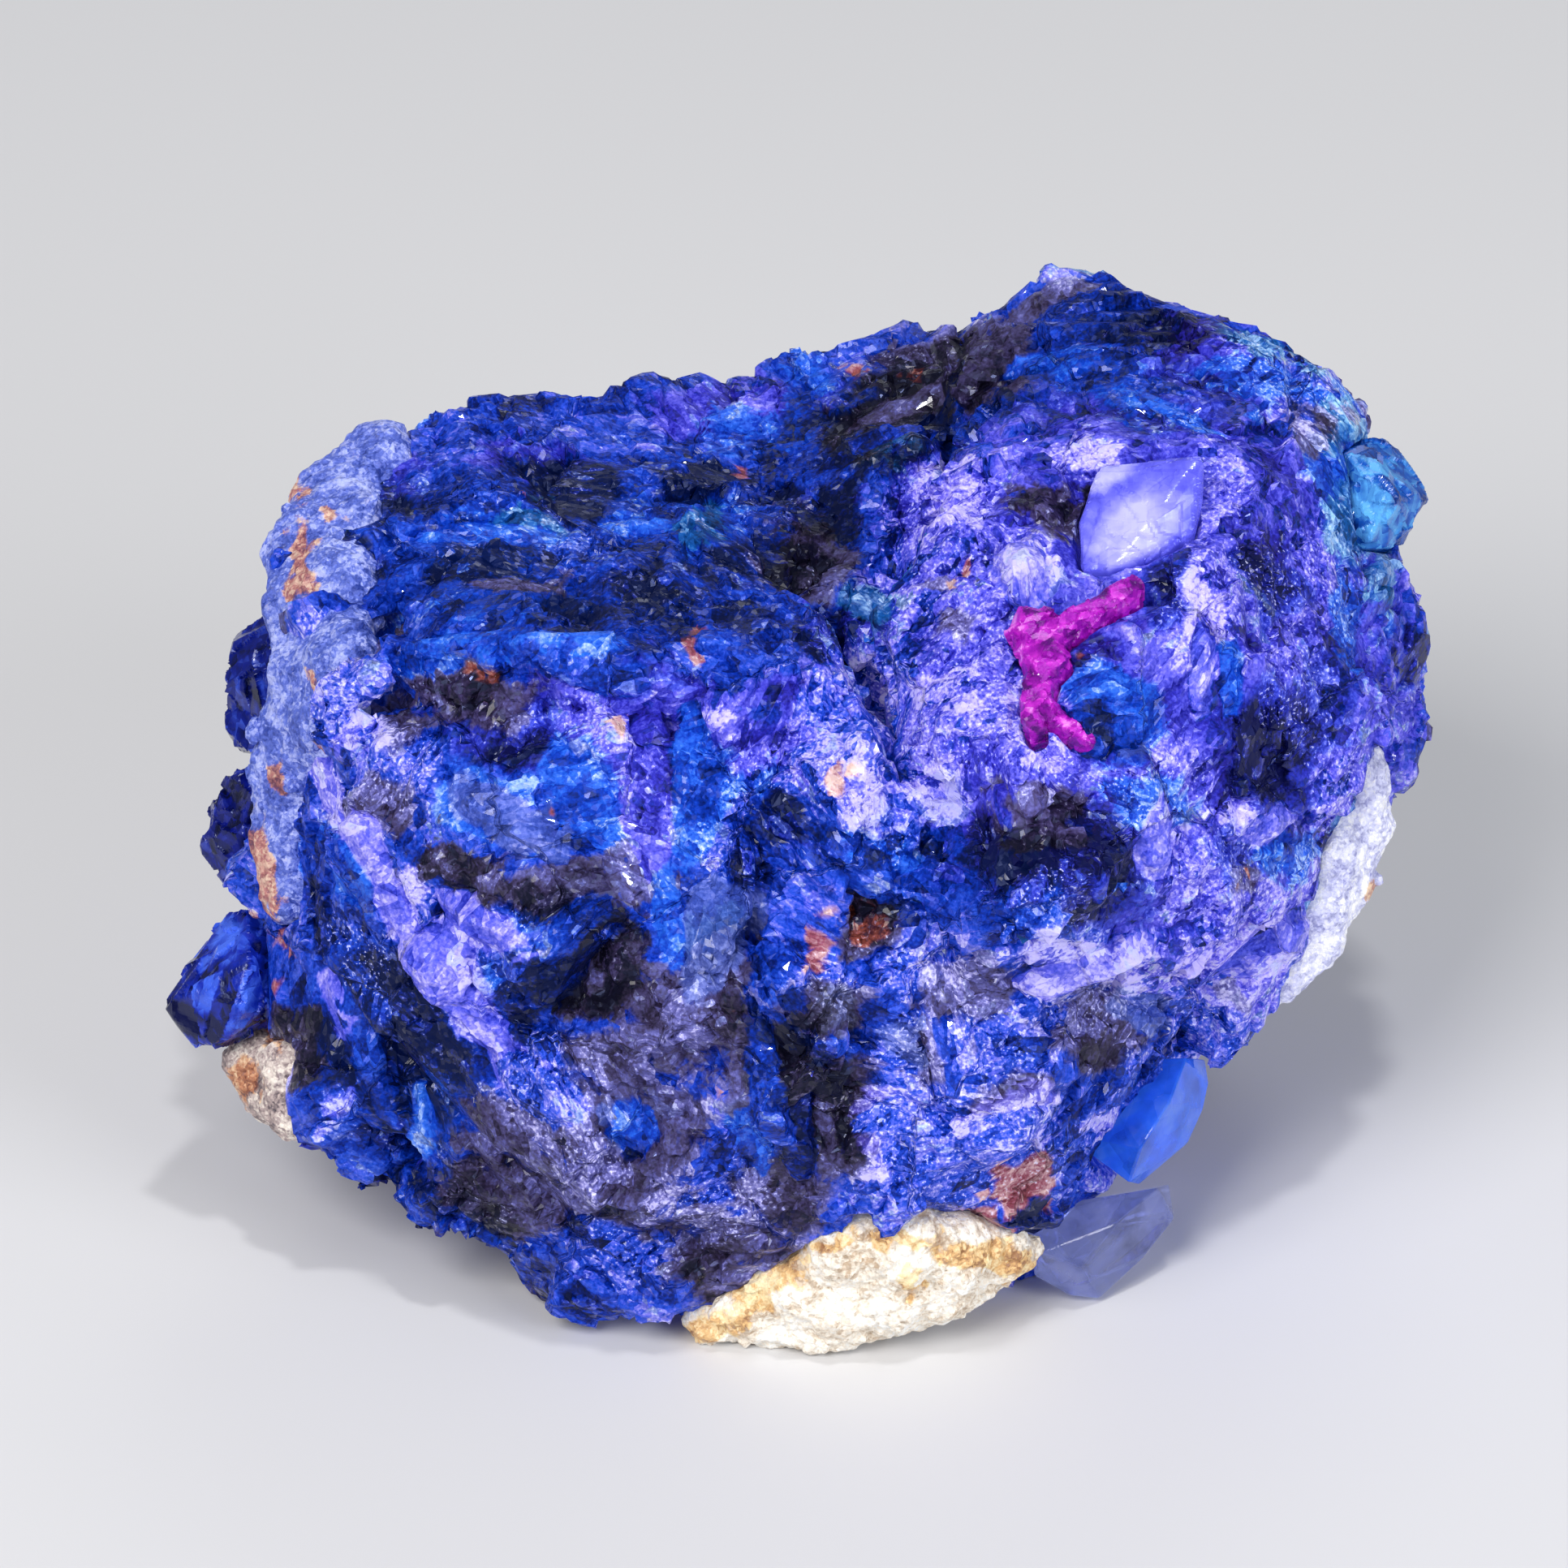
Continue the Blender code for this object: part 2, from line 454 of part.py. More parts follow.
def carve(obj, operand, operation):
    """Joins a collection's shapes to an object, or takes them out of it, and keeps the one body left."""
    modifier = obj.modifiers.new(operation.title(), "BOOLEAN")
    modifier.operation = operation
    modifier.operand_type = "COLLECTION"
    modifier.collection = operand
    modifier.solver = "EXACT"
    graph = bpy.context.evaluated_depsgraph_get()
    mesh = bpy.data.meshes.new_from_object(obj.evaluated_get(graph))
    obj.modifiers.remove(modifier)
    bm = bmesh.new()
    bm.from_mesh(mesh)
    bmesh.ops.remove_doubles(bm, verts=bm.verts[:], dist=MERGE_WITHIN)
    keep_largest(bm)
    bmesh.ops.dissolve_limit(bm, angle_limit=FLAT_WITHIN, verts=bm.verts[:], edges=bm.edges[:])
    bm.to_mesh(mesh)
    bm.free()
    obj.data = mesh


def below_foot():
    """What lies under the level of the table, to be cut off flat."""
    bm = bmesh.new()
    bmesh.ops.create_cube(bm, size=0.1)
    bmesh.ops.translate(bm, vec=(0, 0, FOOT_LEVEL - 0.05), verts=bm.verts)
    return bm


def make_mass(parts):
    """The mass before its sockets are cut, and the smooth skin under its ledges."""
    rng = np.random.default_rng(LEDGE_SEED)
    growth = new_collection("growth", hidden=True)
    hollows = new_collection("hollows", hidden=True)
    mass = add_object("fluorite_mass", hull(seen(*corner) for corner in CORE), parts)
    blocks = [
        add_helper(name, hull(seen(*corner) for corner in corners), growth)
        for name, corners in (
            ("left_block", LEFT_BLOCK),
            ("right_block", RIGHT_BLOCK),
            ("lower_block", LOWER_BLOCK),
            ("valley_floor", VALLEY_FLOOR),
            ("crest", CREST),
        )
    ]
    skin = skin_of([mass, *blocks])
    for name in ("face_ledge", "side_ledge", "back_ledge"):
        scatter_blocks(rng, skin, growth, name)
    for index, form in enumerate(FACE_RIDGES):
        add_helper(f"ridge_{index:02d}", laid_block(rng, skin, form), growth)
    carve(mass, growth, "UNION")
    for index, form in enumerate(FACE_PITS):
        add_helper(f"pit_{index:02d}", laid_block(rng, skin, form, hollow=True), hollows)
    for name in ("face_hollow", "back_hollow"):
        scatter_blocks(rng, skin, hollows, name)
    add_helper("under_table", below_foot(), hollows)
    carve(mass, hollows, "DIFFERENCE")
    return mass, skin


LOOKS = {
    "fluorite_mass": ((0.07, 0.08, 0.50), 0.3),
    "pointed_crystal": ((0.02, 0.05, 0.45), 0.1),
    "upper_left_crystal": ((0.02, 0.08, 0.42), 0.12),
    "lower_left_crystal": ((0.02, 0.04, 0.30), 0.12),
    "teal_crystal": ((0.03, 0.25, 0.45), 0.12),
    "blue_crystal": ((0.03, 0.16, 0.80), 0.06),
    "clear_crystal": ((0.30, 0.34, 0.60), 0.06),
    "tabular_crystal": ((0.40, 0.38, 0.85), 0.15),
    "pink_crystals": ((0.50, 0.02, 0.55), 0.2),
    "left_crust": ((0.35, 0.38, 0.70), 0.6),
    "left_matrix": ((0.60, 0.52, 0.45), 0.8),
    "right_crust": ((0.70, 0.72, 0.85), 0.7),
    "foot_matrix": ((0.85, 0.75, 0.60), 0.8),
}


def solids_of(name, skin, room=0.0):
    """The solids that one piece is joined from, grown by room where they are its socket."""
    if name in CRYSTALS:
        return [crystal(name, room)]
    if name == "tabular_crystal":
        return [tablet(skin, room)]
    if name == "pink_crystals":
        return list(pink_crystals(skin, room))
    return list(lumps(name, skin, room))


def make_piece(name, skin, parts, sockets):
    """One piece, clear of the sockets of those before it. Its own socket joins theirs."""
    first, *more = solids_of(name, skin)
    piece = add_object(name, first, parts)
    if more:
        joined = new_collection(f"{name}_solids", hidden=True)
        for index, bm in enumerate(more):
            add_helper(f"{name}_solid_{index:02d}", bm, joined)
        carve(piece, joined, "UNION")
    if sockets.objects:
        carve(piece, sockets, "DIFFERENCE")
    if name == "foot_matrix":
        table = new_collection("table", hidden=True)
        add_helper("foot_cut", below_foot(), table)
        carve(piece, table, "DIFFERENCE")
    for index, bm in enumerate(solids_of(name, skin, SOCKET_GAP)):
        add_helper(f"{name}_socket_{index:02d}", bm, sockets)
    return piece


def build():
    clear_scene()
    parts = new_collection("fluorite_cluster")
    mass, skin = make_mass(parts)
    sockets = new_collection("sockets", hidden=True)
    names = [*CRYSTALS, "tabular_crystal", "pink_crystals", *LUMP_RUNS]
    nodes = [make_piece(name, skin, parts, sockets) for name in names] + [mass]
    carve(mass, sockets, "DIFFERENCE")

    corners = np.array([vert.co for node in nodes for vert in node.data.vertices])
    middle = (corners.min(axis=0) + corners.max(axis=0)) / 2
    specimen = bpy.data.objects.new("specimen", None)
    specimen.location = (-middle[0], -middle[1], -FOOT_LEVEL)
    parts.objects.link(specimen)
    for node in nodes:
        node.parent = specimen
        node.data.materials.clear()
        node.data.materials.append(stone_material(node.name, *LOOKS[node.name]))


build()
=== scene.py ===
import math

import bmesh
import bpy
import numpy as np
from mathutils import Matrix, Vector, noise
from mathutils.bvhtree import BVHTree
from mathutils.kdtree import KDTree


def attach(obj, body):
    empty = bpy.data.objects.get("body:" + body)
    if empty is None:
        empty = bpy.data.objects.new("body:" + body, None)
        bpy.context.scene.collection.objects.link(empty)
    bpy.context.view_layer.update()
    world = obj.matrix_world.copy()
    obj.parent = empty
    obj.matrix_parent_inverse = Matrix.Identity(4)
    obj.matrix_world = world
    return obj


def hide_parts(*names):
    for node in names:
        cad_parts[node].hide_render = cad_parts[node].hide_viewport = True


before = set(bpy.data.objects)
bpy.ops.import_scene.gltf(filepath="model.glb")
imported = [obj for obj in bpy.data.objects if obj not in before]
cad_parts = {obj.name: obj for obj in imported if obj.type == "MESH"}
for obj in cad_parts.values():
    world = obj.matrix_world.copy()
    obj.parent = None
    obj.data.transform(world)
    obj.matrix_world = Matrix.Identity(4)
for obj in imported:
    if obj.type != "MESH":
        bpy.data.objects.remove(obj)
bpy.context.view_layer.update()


# The eye. The specimen lies on a table and is seen from 30 degrees above it, from half a metre away.
# Stains and zones of its face are placed as the eye sees them: across and down a picture 1932 wide.
# Sizes are in mm all through, and MM takes them to metres.
MM = 0.001
EYE_LIFT = math.radians(30)
EYE_AWAY = 483.0
EYE_MIDDLE = np.array((0.0849, -4.0690, 23.4000))
LOOK_ASIDE = (-0.855, 1.125)
PICTURE = 1932
LENS = 200.0
SENSOR = 36.0
eye_back = np.array((0.0, -math.cos(EYE_LIFT), math.sin(EYE_LIFT)))
eye_right = np.array((1.0, 0.0, 0.0))
eye_up = np.cross(eye_back, eye_right)
eye_target = EYE_MIDDLE + eye_right * LOOK_ASIDE[0] + eye_up * LOOK_ASIDE[1]
eye_place = eye_target + eye_back * EYE_AWAY


def as_seen(points):
    """Where the eye sees these points of the specimen (mm): across and down the picture."""
    away = points - eye_place
    depth = away @ -eye_back
    scale = PICTURE * LENS / SENSOR
    return PICTURE / 2 + scale * (away @ eye_right) / depth, PICTURE / 2 - scale * (away @ eye_up) / depth


camera_data = bpy.data.cameras.new("eye")
camera_data.lens = LENS
camera_data.sensor_width = SENSOR
camera = bpy.data.objects.new("eye", camera_data)
camera.location = Vector(eye_place) * MM
camera.rotation_euler = Vector(eye_back).to_track_quat("Z", "Y").to_euler()
bpy.context.scene.collection.objects.link(camera)
bpy.context.scene.camera = camera


# The fluorite mass. One intergrown lump of blue and violet fluorite, split along its cleavage into
# ledges, blades and flat facets, sugary where it is crushed. The blades here are fused to the packed
# solid, and the skin is then broken into facets that lie in each crystal's own cleavage planes.
SEED = 11
VOXEL = 0.26
MOST_TRIANGLES = 188000
CRYSTALS = 300
# The small blades: how many, their half sizes and shapes, how proud they stand, and what they keep from.
BLADES = 600
BLADE_HALF = (0.8, 3.2)
BLADE_SHAPES = ((0.25, 0.5, 0.6), (0.6, 0.9, 1.2))
MOSTLY_SMALL = 2.6
BLADE_PROUD = (-0.3, 0.2)
BLADE_MOST = 0.5
BLADE_CLEAR = 0.6
KEPT_CLEAR = 1.3
UNDER_SIDE = -0.5
# The facets, twice over: their spacing, the most that one moves the skin, and its lean to a cleavage.
FACETS = ((3.6, 0.45, 0.5), (1.7, 0.2, 0.45))
FACET_LOOSE = 0.3
FACET_STEEPEST = 0.5
FACET_EVENED = 3
NEAR_CLEAVAGE = 0.8
SQUEEZE = 0.6
# The terraces: their height, the slope between two treads, and how near a cleavage the skin has to be.
TERRACE = 0.55
TERRACE_RISER = (0.3, 0.7)
TERRACE_FROM = (0.86, 0.94)
TERRACE_UP_TO = (0.985, 0.998)
TERRACE_EVENED = 8
SKIN_AREA = 14500.0
SWELL = 0.25
# The skin stays as packed near the other pieces, on the foot and mostly on the face's blades.
FADE_START = 0.25
FOOT_FADE = 0.8
BLADE_KEPT = 0.7
BLADE_FADE = 0.3
# How widely the skin is evened to find its hollows and ridges, for painted shade and painted light.
HOLLOW_SHADE_EVENED = 60
# The blades of the face: a pixel of the picture, and how far each is sunk, ragged and tapered.
PIXEL = 0.045
TOWARDS_EYE = 0.8
BLADE_SUNK = 1.6
BLADE_RAGGED = (0.7, 1.2)
BLADE_TAPER = (1.25, 1.08, 0.94)
BLADE_OUTLINE = np.array(((-1.0, 0.1), (-0.62, -0.9), (0.45, -1.0), (1.0, -0.15), (0.6, 0.85), (-0.5, 1.0)))
# Blades that stand out on the face. Middle across and down the picture, half length and half width in
# it, how far the blade leans and rolls in degrees, how proud it stands (mm), and the zone of its colour.
FACE_BLADES = (
    (621, 1007, 78, 20, 30, 14, 0.5, "slab"),
    (655, 1030, 44, 12, 22, -20, 0.8, "slab"),
    (700, 975, 66, 20, 74, 25, 0.6, "azure"),
    (738, 990, 58, 16, 80, -25, 0.5, "azure"),
    (668, 1165, 92, 22, -46, 24, 0.7, "deep"),
    (706, 1190, 84, 20, -48, -20, 0.5, "dark"),
    (752, 1170, 76, 26, -50, 14, 0.4, "brown"),
    (822, 1130, 74, 14, 84, 30, 0.6, "azure"),
    (805, 975, 88, 34, 88, 16, 0.5, "violet"),
    (848, 985, 84, 18, 82, -26, 0.6, "azure"),
    (405, 962, 46, 17, 52, -18, 0.6, "branch"),
    (455, 1042, 52, 17, 56, 16, 0.7, "branch"),
    (494, 1118, 50, 18, 70, -12, 0.7, "branch"),
    (540, 1190, 56, 19, 50, 18, 0.8, "branch"),
    (590, 1252, 52, 18, 54, -14, 0.7, "branch"),
    (626, 1306, 36, 16, 64, 12, 0.6, "branch"),
    (612, 1150, 74, 20, 18, -22, 0.6, "branch"),
    (560, 1160, 50, 22, -24, 16, 0.5, "branch"),
    (531, 1370, 46, 18, 80, 20, 0.5, "azure"),
    (455, 1290, 90, 20, 66, -24, 0.5, "deep"),
    (420, 1240, 60, 10, 76, 20, 0.5, "branch"),
    (948, 1340, 110, 14, 76, 26, 0.6, "deep"),
    (985, 1360, 106, 13, 78, -24, 0.6, "dark"),
    (1018, 1372, 92, 13, 74, 22, 0.6, "brown"),
    (930, 1390, 56, 14, 70, -10, 0.5, "azure"),
    (776, 1384, 38, 24, 10, 20, 0.5, "azure"),
    (1060, 1060, 60, 20, 34, 26, 0.6, "deep"),
    (1110, 1075, 64, 22, 30, -22, 0.6, "azure"),
    (1155, 1050, 52, 20, 44, 18, 0.5, "deep"),
    (1264, 712, 48, 26, 84, 16, 0.7, "branch"),
    (1480, 830, 56, 12, 94, -20, 0.5, "branch"),
    (1512, 830, 56, 11, 92, 22, 0.4, "azure"),
    (1378, 880, 50, 34, 16, -14, 0.6, "azure"),
    (1348, 900, 34, 20, 60, 22, 0.6, "deep"),
    (1425, 1036, 52, 20, 80, 20, 0.5, "branch"),
    (1560, 1165, 70, 26, -16, 16, 0.5, "branch"),
    (1336, 1196, 86, 24, -12, -18, 0.6, "branch"),
    (1400, 1240, 40, 24, 10, 14, 0.5, "slab"),
    (1440, 512, 60, 14, 30, -26, 0.4, "azure"),
    (1380, 470, 80, 16, 12, 20, 0.4, "deep"),
    (1300, 450, 70, 16, -10, -20, 0.4, "azure"),
    (1290, 372, 54, 22, -34, 16, 0.4, "brown"),
    (1140, 500, 84, 20, -30, -18, 0.4, "brown"),
    (1080, 540, 70, 16, -24, 20, 0.4, "dark"),
    (700, 790, 84, 12, 6, -24, 0.5, "azure"),
    (560, 790, 84, 12, 2, 24, 0.5, "azure"),
    (730, 830, 84, 16, 14, -18, 0.5, "deep"),
    (640, 726, 50, 12, 4, 18, 0.4, "brown"),
    (610, 662, 76, 14, -4, -16, 0.4, "azure"),
    (800, 655, 60, 14, 0, 14, 0.4, "azure"),
    (1560, 1020, 44, 20, 0, -18, 0.5, "branch"),
    (1240, 1400, 60, 30, -20, 14, 0.6, "pale"),
    (1120, 1410, 64, 34, 24, -14, 0.6, "pale"),
    (670, 1350, 56, 24, 24, 14, 0.5, "pale"),
)
# Blades that thicken the ledge that overhangs at the front: place, and half sizes.
LEDGE_BLADES = (
    (12.2, -25.6, 28.6, 1.5, 1.7, 1.6), (11.0, -24.6, 26.8, 1.6, 1.8, 1.5),
    (13.4, -24.2, 27.2, 1.5, 1.7, 1.7), (10.0, -23.8, 28.4, 1.4, 1.7, 1.6),
    (14.6, -23.8, 28.8, 1.4, 1.7, 1.6), (12.2, -23.8, 24.8, 1.6, 1.8, 1.6),
)
UNDER_LEDGE = (0.0, -0.8, -0.6)
CLEAVAGE = np.array(((1, 1, 1), (1, -1, -1), (-1, 1, -1), (-1, -1, 1))) / math.sqrt(3)


def node_shape(name):
    """The corners (mm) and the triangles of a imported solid."""
    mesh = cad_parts[name].data
    mesh.calc_loop_triangles()
    corners = np.empty(len(mesh.vertices) * 3, np.float32)
    triangles = np.empty(len(mesh.loop_triangles) * 3, np.int32)
    mesh.vertices.foreach_get("co", corners)
    mesh.loop_triangles.foreach_get("vertices", triangles)
    return corners.reshape(-1, 3).astype(float) / MM, triangles.reshape(-1, 3)


def joined(*shapes):
    """Several shapes as one, each with its own corners."""
    starts = np.cumsum([0] + [len(corners) for corners, _ in shapes[:-1]])
    triangles = [faces + start for (_, faces), start in zip(shapes, starts)]
    return np.concatenate([corners for corners, _ in shapes]), np.concatenate(triangles)


def new_piece(name, shape):
    """A piece of the specimen from its corners (mm) and triangles."""
    mesh = bpy.data.meshes.new(name)
    mesh.from_pydata((shape[0] * MM).tolist(), [], shape[1].tolist())
    piece = bpy.data.objects.new(name, mesh)
    bpy.context.scene.collection.objects.link(piece)
    return piece


def reworked(piece, kind, **settings):
    """The piece with one modifier applied."""
    modifier = piece.modifiers.new(kind, kind)
    for setting, value in settings.items():
        setattr(modifier, setting, value)
    evaluated = piece.evaluated_get(bpy.context.evaluated_depsgraph_get())
    old = piece.data
    mesh = bpy.data.meshes.new_from_object(evaluated)
    piece.modifiers.clear()
    piece.data = mesh
    bpy.data.meshes.remove(old)
    return piece


def fused(piece, voxel):
    """The piece with all that overlaps in it grown into one skin."""
    return reworked(piece, "REMESH", mode="VOXEL", voxel_size=voxel * MM)


def one_body(piece):
    """The piece without the crumbs that are loose beside it."""
    edges = np.empty(len(piece.data.edges) * 2, np.int32)
    piece.data.edges.foreach_get("vertices", edges)
    a, b = edges.reshape(-1, 2).T
    body = np.arange(len(piece.data.vertices))
    before = None
    while before is None or (body != before).any():
        before = body.copy()
        lowest = np.minimum(body[a], body[b])
        np.minimum.at(body, a, lowest)
        np.minimum.at(body, b, lowest)
        body = body[body]
    main = np.bincount(body).argmax()
    shape = bmesh.new()
    shape.from_mesh(piece.data)
    crumbs = [corner for corner, own in zip(shape.verts, body) if own != main]
    bmesh.ops.delete(shape, geom=crumbs, context="VERTS")
    shape.to_mesh(piece.data)
    shape.free()
    return piece


def thinned(piece, most):
    """The piece with no more than so many triangles, kept where its shape needs them."""
    count = 2 * len(piece.data.polygons)
    return reworked(piece, "DECIMATE", ratio=min(1.0, most / count), use_collapse_triangulate=True)


def read(piece):
    """The corners (mm) and the normals of a piece."""
    count = len(piece.data.vertices)
    corners = np.empty(count * 3, np.float32)
    normals = np.empty(count * 3, np.float32)
    piece.data.vertices.foreach_get("co", corners)
    piece.data.vertex_normals.foreach_get("vector", normals)
    return corners.reshape(-1, 3).astype(float) / MM, normals.reshape(-1, 3).astype(float)


def moved(piece, corners):
    """The piece with its corners (mm) in new places."""
    piece.data.vertices.foreach_set("co", (corners * MM).astype(np.float32).ravel())
    piece.data.update()
    return piece


def evened(piece, values, rounds):
    """Values of each corner, evened out with its neighbours' again and again."""
    edges = np.empty(len(piece.data.edges) * 2, np.int32)
    piece.data.edges.foreach_get("vertices", edges)
    ends = np.concatenate((edges.reshape(-1, 2), edges.reshape(-1, 2)[:, ::-1]))
    shares = 1 + np.bincount(ends[:, 0], minlength=len(values))
    for _ in range(rounds):
        near = [np.bincount(ends[:, 0], values[ends[:, 1], i], len(values)) for i in range(values.shape[1])]
        values = (values + np.stack(near, 1)) / shares[:, None]
    return values


def unit(vectors):
    """The same directions, one long."""
    return vectors / np.maximum(np.linalg.norm(vectors, axis=1), 1e-9)[:, None]


def turns(count, rng):
    """Random rotations, as matrices."""
    w, x, y, z = unit(rng.normal(size=(count, 4))).T
    rows = (
        (1 - 2 * (y * y + z * z), 2 * (x * y - z * w), 2 * (x * z + y * w)),
        (2 * (x * y + z * w), 1 - 2 * (x * x + z * z), 2 * (y * z - x * w)),
        (2 * (x * z - y * w), 2 * (y * z + x * w), 1 - 2 * (x * x + y * y)),
    )
    return np.array(rows).transpose(2, 0, 1)


def spots_on(shape, count, rng):
    """Points spread by area over a shape, with the way out at each."""
    corners, triangles = shape
    a, b, c = (corners[triangles[:, i]] for i in range(3))
    across = np.cross(b - a, c - a)
    area = np.linalg.norm(across, axis=1)
    picked = rng.choice(len(triangles), count, p=area / area.sum())
    s, t = rng.random((2, count, 1))
    s, t = np.where(s + t > 1, 1 - s, s), np.where(s + t > 1, 1 - t, t)
    return a[picked] + s * (b - a)[picked] + t * (c - a)[picked], unit(across[picked])


def tree_of(points):
    """A tree that finds the nearest of these points."""
    tree = KDTree(len(points))
    for index, point in enumerate(points):
        tree.insert(point, index)
    tree.balance()
    return tree


def nearest(points, tree):
    """For each point, the number of the nearest one in the tree."""
    return np.array([tree.find(point)[1] for point in points])


def surface_of(shape):
    """A shape's surface, to measure from."""
    return BVHTree.FromPolygons(shape[0].tolist(), shape[1].tolist())


def room_to(points, shape):
    """How far each point is from a shape, and the number of the triangle that is nearest."""
    surface = surface_of(shape)
    found = [surface.find_nearest(point) for point in points]
    return np.array([near[3] for near in found]), np.array([near[2] for near in found])


def cleavage_blades(spots, outward, axes, halves, proud):
    """A block with three pairs of cleavage faces at each spot, its flattest side out and standing proud."""
    planes = np.einsum("nij,kj->nki", axes, CLEAVAGE)
    order = np.argsort(-np.abs(np.einsum("nki,ni->nk", planes, outward)), axis=1)[:, :3]
    chosen = np.take_along_axis(planes, order[:, :, None], axis=1)
    slants = np.linalg.inv(chosen)
    signs = np.array([(x, y, z) for x in (-1, 1) for y in (-1, 1) for z in (-1, 1)])
    corners = np.einsum("nij,nsj->nsi", slants, signs[None] * halves[:, None, :])
    reach = np.einsum("nsi,ni->ns", corners, outward).max(axis=1)
    corners += (spots + outward * (proud - reach)[:, None])[:, None, :]
    sides = ((0, 1, 3, 2), (4, 6, 7, 5), (0, 4, 5, 1), (2, 3, 7, 6), (0, 2, 6, 4), (1, 5, 7, 3))
    box = np.array([(side[0], side[i], side[i + 1]) for side in sides for i in (1, 2)])
    inside_out = np.linalg.det(slants) < 0
    triangles = box[None] + 8 * np.arange(len(spots))[:, None, None]
    triangles[inside_out] = triangles[inside_out][:, :, ::-1]
    return corners.reshape(-1, 3), triangles.reshape(-1, 3)


def pressed(corners, most):
    """Corners that stand further than this out of the mass are pressed back into it."""
    for corner in corners:
        near, up, _, _ = skin.find_nearest(Vector(corner))
        corner -= np.array(up) * max((corner - near) @ up - most, 0)


def under_eye(across, down):
    """The place of the mass under this place of the picture, and the way out there."""
    scale = PICTURE * LENS / SENSOR
    sight = eye_right * (across - PICTURE / 2) / scale - eye_up * (down - PICTURE / 2) / scale - eye_back
    place, out, _, _ = skin.ray_cast(Vector(eye_place), Vector(sight))
    return np.array(place), unit(np.array((out,)) + TOWARDS_EYE * eye_back)[0]


def face_blade(across, down, half_long, half_wide, lean, roll, proud):
    """A long flat blade on the face, pointed at both ends, its flanks sloping into the mass."""
    place, out = under_eye(across, down)
    line = eye_right * math.cos(math.radians(lean)) - eye_up * math.sin(math.radians(lean))
    line = line - out * (line @ out)
    line /= np.linalg.norm(line)
    side = np.cross(out, line)
    turn = math.radians(roll)
    out, side = out * math.cos(turn) + side * math.sin(turn), side * math.cos(turn) - out * math.sin(turn)
    ragged = BLADE_OUTLINE * rng.uniform(*BLADE_RAGGED, BLADE_OUTLINE.shape)
    ring = ragged * (half_long, half_wide) * PIXEL
    flat = ring[:, :1] * line + ring[:, 1:] * side
    root, middle, top = (flat * share for share in BLADE_TAPER)
    corners = np.concatenate((root - out * BLADE_SUNK, middle, top + out * proud)) + place
    pressed(corners, proud)
    count = len(ring)
    triangles = [(0, i + 1, i) for i in range(1, count - 1)]
    triangles += [(2 * count, 2 * count + i, 2 * count + i + 1) for i in range(1, count - 1)]
    for level in (0, count):
        for i in range(count):
            a, b = level + i, level + (i + 1) % count
            triangles += [(a, b, b + count), (a, b + count, a + count)]
    return corners, np.array(triangles)


rng = np.random.default_rng(SEED)
others = joined(*(node_shape(name) for name in sorted(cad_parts) if name != "fluorite_mass"))
solid = node_shape("fluorite_mass")
skin = surface_of(solid)
face_blades = [face_blade(*blade[:-1]) for blade in FACE_BLADES]
face_shape = joined(*face_blades)
blade_of = np.repeat(np.arange(len(face_blades)), [len(triangles) for _, triangles in face_blades])
grown_spots, _ = spots_on(solid, CRYSTALS, rng)
grown_tree = tree_of(grown_spots)
grown_axes = turns(CRYSTALS, rng)

spots, outward = spots_on(solid, BLADES, rng)
clear = (room_to(spots, others)[0] > KEPT_CLEAR) & (outward[:, 2] > UNDER_SIDE)
spots, outward = spots[clear], outward[clear]
own = nearest(spots, grown_tree)
sizes = BLADE_HALF[0] + (BLADE_HALF[1] - BLADE_HALF[0]) * rng.random(len(spots)) ** MOSTLY_SMALL
halves = sizes[:, None] * rng.uniform(*BLADE_SHAPES, (len(spots), 3))
proud = rng.uniform(*BLADE_PROUD, len(spots)) * np.minimum(sizes, 1.0)
blades = cleavage_blades(spots, outward, grown_axes[own], halves, proud)
clear = room_to(blades[0], others)[0].reshape(-1, 8).min(axis=1) > BLADE_CLEAR
blades = cleavage_blades(spots[clear], outward[clear], grown_axes[own[clear]], halves[clear], proud[clear])
pressed(blades[0], BLADE_MOST)
ledge_spots, ledge_halves = np.split(np.array(LEDGE_BLADES), 2, axis=1)
ledge_axes = grown_axes[nearest(ledge_spots, grown_tree)]
down_out = np.tile(UNDER_LEDGE, (len(ledge_spots), 1))
ledge_blades = cleavage_blades(ledge_spots, down_out, ledge_axes, ledge_halves, np.zeros(len(ledge_spots)))
mass = new_piece("fluorite", joined(solid, blades, face_shape, ledge_blades))
one_body(fused(mass, VOXEL))


def drawn_out(corners):
    """The corners squeezed along a line of their crystal, so that cells made at them come out long."""
    crystal = nearest(corners, grown_tree)
    line = grown_axes[crystal, 0]
    far = np.einsum("ni,ni->n", corners - grown_spots[crystal], line)
    return corners - SQUEEZE * line * far[:, None], crystal


